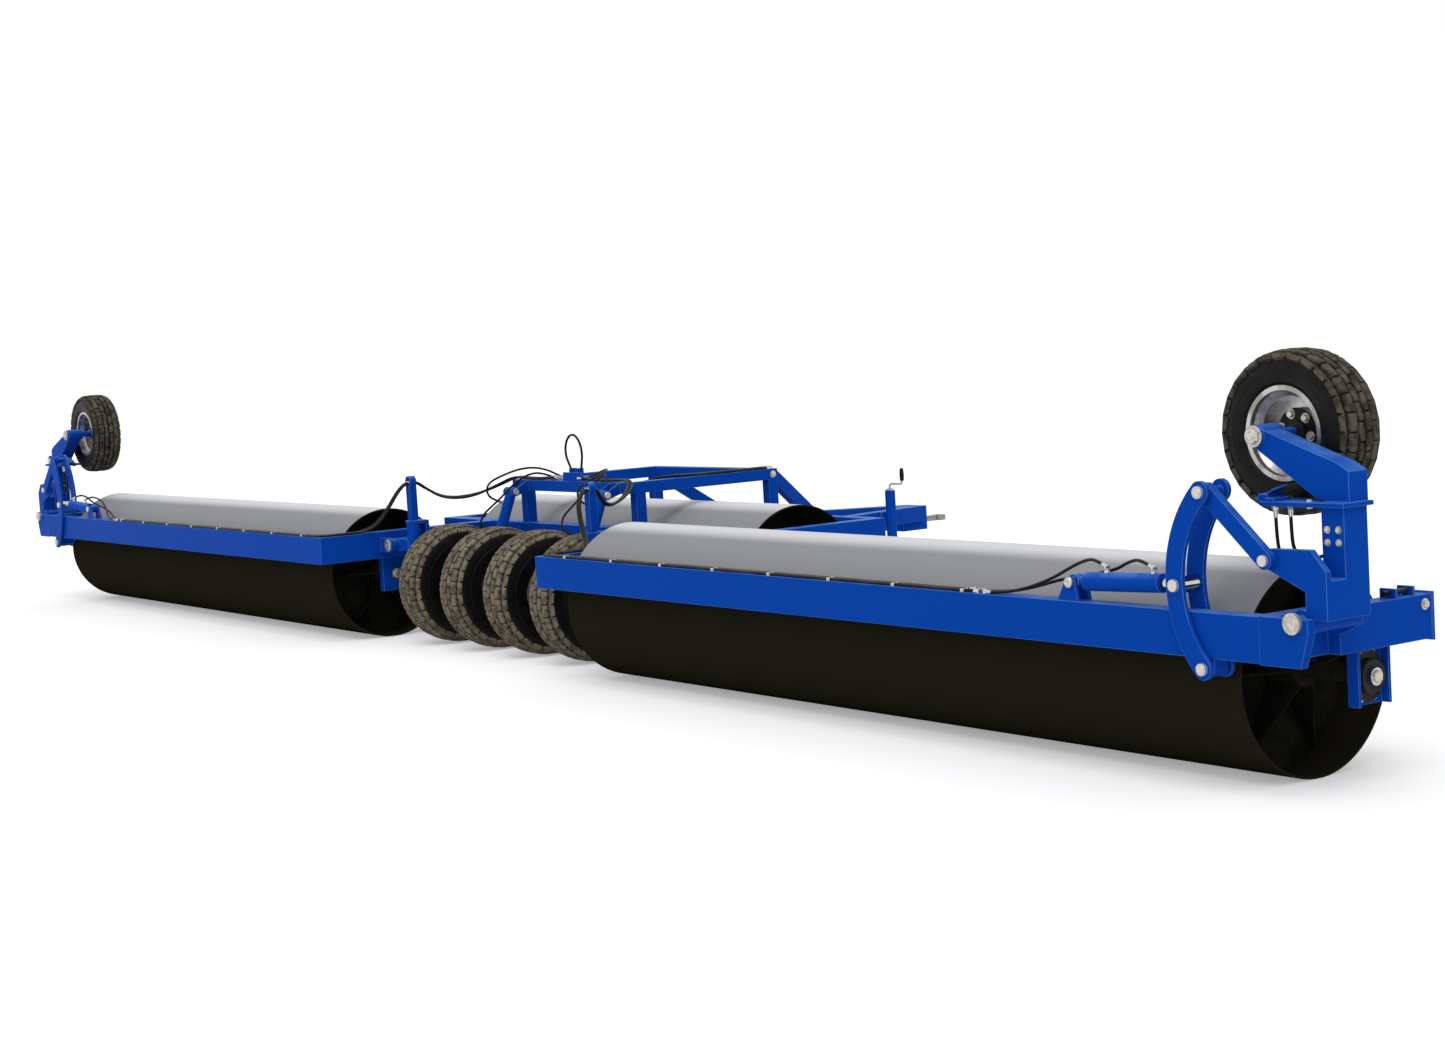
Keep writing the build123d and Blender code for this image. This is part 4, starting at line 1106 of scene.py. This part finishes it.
def tube(path, radius, sides=10):
    """A round tube along a path, closed at both ends."""
    bm = bmesh.new()
    rings = []
    side = Vector((0, 0, 1))
    for k, place in enumerate(path):
        ahead = (path[min(k + 1, len(path) - 1)] - path[max(k - 1, 0)]).normalized()
        side = side - ahead * ahead.dot(side)
        if side.length < 1e-3:
            side = Vector((1, 0, 0)) - ahead * ahead.x
        side.normalize()
        other = ahead.cross(side)
        rings.append([
            bm.verts.new(place + radius * (math.cos(t) * side + math.sin(t) * other)) for t in turns(sides)])
    return skin(bm, rings)


def hose_end(diameter):
    """A crimped steel end with its hexagon, from the hose's cut at Z 0 back along Z."""
    r = diameter / 2
    bm = lathe([(0, -0.004), (r * 1.35, -0.004), (r * 1.35, 0.010), (r * 1.22, 0.014), (r * 1.30, 0.018),
                (r * 1.22, 0.022), (r * 1.30, 0.026), (r * 1.05, 0.032), (0, 0.032)], 20)
    merge(bm, prism(regular(6, r * 1.7), 0.012, 0.001), Matrix.Translation((0, 0, -0.014)))
    return bm


WING_HOSE_D, LINE_HOSE_D, RAM_HOSE_D = 0.020, 0.018, 0.016
# The bend onto the rear beam, and the height of the hoses' middle along the beam
CORNER_R = 0.085
BEAM_HOSE_Z = 0.8425


def hose_routes():
    """Every hose of the right side."""
    king = pivot("fold_right")
    lift = pivot("lift_ram_right_swing")
    ring = Vector((king.x, king.y, high("knuckle_right").z - 0.045))
    z = BEAM_HOSE_Z
    routes = []
    for k, shift in enumerate((-0.0125, 0.0125)):
        y = -1.125 + 0.030 * k
        spread = 0.042 * k
        lane = -2.366 + 0.028 * k
        corner = [(1.625 + spread + CORNER_R * (1 - math.cos(turn)),
                   lane + CORNER_R * (1 - math.sin(turn)), z)
                  for turn in (0, math.pi / 6, math.pi / 3, math.pi / 2)]
        routes.append((
            f"fold_hose_{k + 1}", ("centre", "knuckle_", (1.16, -1.60, 1.1), (1.28, -1.735, 1.1)),
            WING_HOSE_D,
            [(0.155, y, 1.213), (0.22, y, 1.213), (0.36, y, 1.203), (0.58, y, 1.203), (0.80, y, 1.212),
             (0.92, y - 0.08, 1.150), (1.03, -1.38 + 0.03 * k, 1.07 + 0.015 * k),
             (1.15 + 0.01 * k, -1.55 + 0.02 * k, 1.075), (1.24 + 0.015 * k, -1.655, 1.165),
             (ring.x + shift, -1.70, ring.z - 0.004), (ring.x + shift, ring.y, ring.z)]))
        routes.append((
            f"wing_hose_{k + 1}", ("knuckle_", "wing_", (1.36, king.y, 1.0), (1.60, king.y, 0.85)),
            WING_HOSE_D,
            [(ring.x + shift, ring.y, ring.z), (ring.x + shift, -1.795, ring.z - 0.006),
             (1.31 + shift, -1.86, 1.14), (1.40 + 0.03 * k, -1.91, 0.99), (1.52 + 0.03 * k, -1.95, 0.885),
             (1.612 + spread, -2.02, z + 0.002), (1.625 + spread, -2.14, z),
             *corner, *((x, lane, z) for x in (1.85, 2.6, 4.0, 5.4, 5.88 - 0.06 * k))]))
        end_x = 6.66 + 0.30 * k
        routes.append((
            f"ram_hose_{k + 1}", ("wing_", "ram_barrel_", (6.05, -2.33, 0.9), (6.60, -2.33, 0.9)), RAM_HOSE_D,
            [(5.94 - 0.06 * k, lane, z), (6.06, -2.360 + 0.03 * k, z + 0.004),
             (6.20, -2.335 + 0.05 * k, 0.872), (6.34 + 0.06 * k, -2.290 + 0.02 * k, 0.925),
             (end_x - 0.22, -2.278, 0.976), (end_x - 0.11, -2.285, 1.018 + 0.01 * k),
             (end_x, -2.320, 1.035 + 0.01 * k), (end_x + 0.09, -2.3375, 1.003 + 0.008 * k)]))
        x, y = 7.665 + 0.045 * k, -2.20 + 0.045 * k
        routes.append((
            f"tower_hose_{k + 1}", "tower_", RAM_HOSE_D,
            [(x, y, 1.278), (x, y, 1.18), (7.675 + 0.045 * k, -2.195 + 0.04 * k, 1.08 + 0.02 * k),
             (7.73 + 0.03 * k, -2.18 + 0.04 * k, 1.025 + 0.04 * k),
             (7.82, -2.165 + 0.04 * k, 1.015 + 0.05 * k), (7.90, -2.160 + 0.04 * k, 1.035 + 0.06 * k)]))
    routes.append((
        "lift_hose_1", ("centre", "lift_barrel_", (0.60, -1.15, 1.2), (0.64, -1.33, 1.1)), RAM_HOSE_D,
        [(0.155, -1.065, 1.213), (0.24, -1.065, 1.225), (0.38, -1.075, 1.265), (0.52, -1.11, 1.285),
         (0.61, -1.19, 1.275), (0.645, -1.29, 1.243), (0.645, -1.400, 1.207), (0.645, -1.442, 1.173),
         (0.644, -1.452, 1.1355), (0.643, -1.442, 1.098),
         (lift.x, -1.405, 1.066), (lift.x, -1.340, 1.040)]))
    routes.append((
        "lift_hose_2", ("centre", "lift_barrel_", (0.55, -1.15, 1.2), (0.60, -1.33, 1.1)), RAM_HOSE_D,
        [(0.20, -1.040, 1.165), (0.28, -1.035, 1.175), (0.40, -1.05, 1.225), (0.50, -1.13, 1.25),
         (0.535, -1.26, 1.19), (0.54, -1.40, 1.075), (0.548, -1.49, 1.01), (0.56, -1.535, 0.972),
         (0.578, -1.557, 0.9195), (0.60, -1.547, 0.882),
         (0.63, -1.51, 0.850), (lift.x, -1.429, 0.817)]))
    return routes


def middle_routes():
    """The hoses over the centre: the loop above the bridge, and the lines to the drawbar."""
    routes = [(
        "loop_hose", "centre", LINE_HOSE_D,
        [(0.03, -1.10, 1.213), (0.025, -1.10, 1.25), (-0.015, -1.10, 1.305), (-0.062, -1.10, 1.375),
         (-0.056, -1.10, 1.46), (0.0, -1.10, 1.523), (0.078, -1.10, 1.53), (0.142, -1.10, 1.478),
         (0.162, -1.095, 1.40), (0.132, -1.085, 1.318), (0.094, -1.075, 1.255), (0.09, -1.075, 1.213)])]
    for k in range(3):
        x = 0.27 + 0.036 * k
        rail_x = 0.798 - 0.034 * k
        routes.append((
            f"drawbar_hose_{k + 1}", "centre", LINE_HOSE_D,
            [(x, -1.035, 1.165), (x, -0.97, 1.163), (x + 0.08, -0.86 - 0.02 * k, 1.150),
             (0.52, -0.80 + 0.02 * k, 1.165), (0.66, -0.76 + 0.03 * k, 1.202), (rail_x, -0.60, 1.202),
             (rail_x, -0.35, 1.2), (rail_x, -0.05, 1.2), (rail_x, 0.115, 1.2)]))
    return routes


def lay_hose(name, ride_on, diameter, points, sign, side, ends):
    path = smooth_path([to_side(place, sign) for place in points])
    piece = new_object(name, to_mesh(name, tube(path, diameter / 2)))
    piece.data.materials.append(plain("hose_rubber"))
    piece.data.shade_smooth()
    if isinstance(ride_on, str):
        first = last = on_side(ride_on, side)
        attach(piece, first)
    else:
        first, last = (on_side(stem, side) for stem in ride_on[:2])
        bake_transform(piece)
    for body, place, toward in ((first, path[0], path[1] - path[0]), (last, path[-1], path[-2] - path[-1])):
        merge(ends.setdefault(body, bmesh.new()), hose_end(diameter), axes(place, toward))


class ROLLER_OT_hoses(bpy.types.Operator):
    """Lays the hydraulic hoses with their steel ends"""

    bl_idname = "roller.hoses"
    bl_label = "Hoses"

    def execute(self, context):
        ends = {}
        for sign, side in SIDES:
            for name, ride_on, diameter, points in hose_routes():
                lay_hose(f"{name}_{side}", ride_on, diameter, points, sign, side, ends)
        for name, ride_on, diameter, points in middle_routes():
            lay_hose(name, ride_on, diameter, points, 1, "", ends)
        for body, bm in ends.items():
            shown("hose_ends_" + body, bm, [plain("steel_tube")], body)
        return {"FINISHED"}


class ROLLER_OT_stage(bpy.types.Operator):
    """Makes the floor, the light and the camera"""

    bl_idname = "roller.stage"
    bl_label = "Stage"

    def execute(self, context):
        stage = context.scene.roller_stage
        make_camera(stage)
        make_floor(stage)
        make_light(stage)
        context.scene.view_settings.view_transform = "Standard"
        return {"FINISHED"}


def make_camera(stage):
    """The photograph's view."""
    data = bpy.data.cameras.new("view")
    data.sensor_width = 36.0
    data.sensor_fit = "HORIZONTAL"
    data.lens = stage.lens
    data.clip_end = 500.0
    camera = new_object("view", data)
    ahead = Vector((-math.sin(stage.yaw) * math.cos(stage.pitch),
                    math.cos(stage.yaw) * math.cos(stage.pitch), math.sin(stage.pitch)))
    right = Vector((math.cos(stage.yaw), math.sin(stage.yaw), 0))
    up = right.cross(ahead)
    x = right * math.cos(stage.roll) + up * math.sin(stage.roll)
    y = up * math.cos(stage.roll) - right * math.sin(stage.roll)
    turned = Matrix((x, y, -ahead)).transposed().to_4x4()
    camera.matrix_world = Matrix.Translation(Vector(stage.eye)) @ turned
    bpy.context.scene.camera = camera


FLOOR_LIT = (0.80, 0.80, 0.80, 1)
FLOOR_SEEN = (0.78, 0.78, 0.78, 1)
FLOOR_GLOW = 0.32
LAMP_SPREAD = math.radians(35)
LAMP_TURN = (math.radians(28), math.radians(18), math.radians(10))


def seen_by(tree, *kinds):
    """1 for the rays of the given kinds and 0 for all others."""
    rays = add_node(tree, "ShaderNodeLightPath").outputs
    total = rays[kinds[0]]
    for kind in kinds[1:]:
        total = calculate(tree, "ADD", total, rays[kind])
    return total


def make_floor(stage):
    """A plain pale floor that keeps the shadow. It looks brighter than the light that it gives back."""
    bm = bmesh.new()
    bmesh.ops.create_grid(bm, x_segments=1, y_segments=1, size=stage.floor_half)
    floor = new_object("floor", to_mesh("floor", bm))
    made = bpy.data.materials.new("studio_floor")
    made.use_nodes = True
    tree = made.node_tree
    tree.nodes.clear()
    seen = seen_by(tree, "Is Camera Ray", "Is Glossy Ray")
    lit, pale = (fill(tree, add_node(tree, "ShaderNodeBsdfDiffuse"), tone)[0]
                 for tone in (FLOOR_LIT, FLOOR_SEEN))
    glow = add_node(tree, "ShaderNodeEmission")
    glow.inputs["Strength"].default_value = FLOOR_GLOW
    both = fill(tree, add_node(tree, "ShaderNodeAddShader"), pale, glow.outputs[0])[0]
    choice = fill(tree, add_node(tree, "ShaderNodeMixShader"), seen, lit, both)[0]
    wire(tree, choice, add_node(tree, "ShaderNodeOutputMaterial").inputs[0])
    floor.data.materials.append(made)


def make_light(stage):
    """A white surrounding and one large soft lamp."""
    world = bpy.data.worlds.new("studio")
    bpy.context.scene.world = world
    world.use_nodes = True
    tree = world.node_tree
    tree.nodes.clear()
    seen = seen_by(tree, "Is Camera Ray", "Is Glossy Ray", "Is Transmission Ray")
    around = add_node(tree, "ShaderNodeBackground")
    wire(tree, remap(tree, seen, 0.0, 1.0, stage.sky, 1.0), around.inputs["Strength"])
    around.inputs[0].default_value = (1, 1, 1, 1)
    wire(tree, around.outputs[0], add_node(tree, "ShaderNodeOutputWorld").inputs[0])
    data = bpy.data.lights.new("soft_lamp", "SUN")
    data.energy = stage.sun
    data.angle = LAMP_SPREAD
    new_object("soft_lamp", data).rotation_euler = LAMP_TURN


CLASSES = (
    RollerColours, RollerSizes, RollerStage, ROLLER_OT_finishes, ROLLER_OT_tyres, ROLLER_OT_hubs,
    ROLLER_OT_fasteners, ROLLER_OT_small_pieces, ROLLER_OT_hoses, ROLLER_OT_stage,
)
STEPS = [kind for kind in CLASSES if issubclass(kind, bpy.types.Operator)]


class ROLLER_PT_panel(bpy.types.Panel):
    """The steps and the settings in the 3D view's sidebar"""

    bl_label = "Land Roller"
    bl_idname = "ROLLER_PT_panel"
    bl_space_type = "VIEW_3D"
    bl_region_type = "UI"
    bl_category = "Land Roller"

    def draw(self, context):
        for step in STEPS:
            self.layout.operator(step.bl_idname)
        for group in (context.scene.roller_colours, context.scene.roller_sizes, context.scene.roller_stage):
            for name in group.bl_rna.properties.keys():
                if name not in ("rna_type", "name"):
                    self.layout.prop(group, name)


SETTINGS = {"roller_colours": RollerColours, "roller_sizes": RollerSizes, "roller_stage": RollerStage}


def register():
    """Adds the classes and the sidebar's settings to Blender."""
    for kind in (*CLASSES, ROLLER_PT_panel):
        bpy.utils.register_class(kind)
    for name, kind in SETTINGS.items():
        setattr(bpy.types.Scene, name, bpy.props.PointerProperty(type=kind))


def unregister():
    """Takes the classes and the settings out again."""
    for name in SETTINGS:
        delattr(bpy.types.Scene, name)
    for kind in reversed((*CLASSES, ROLLER_PT_panel)):
        bpy.utils.unregister_class(kind)


def main():
    """Registers the add-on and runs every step."""
    register()
    for step in STEPS:
        group, name = step.bl_idname.split(".")
        getattr(getattr(bpy.ops, group), name)()


if __name__ == "__main__":
    main()
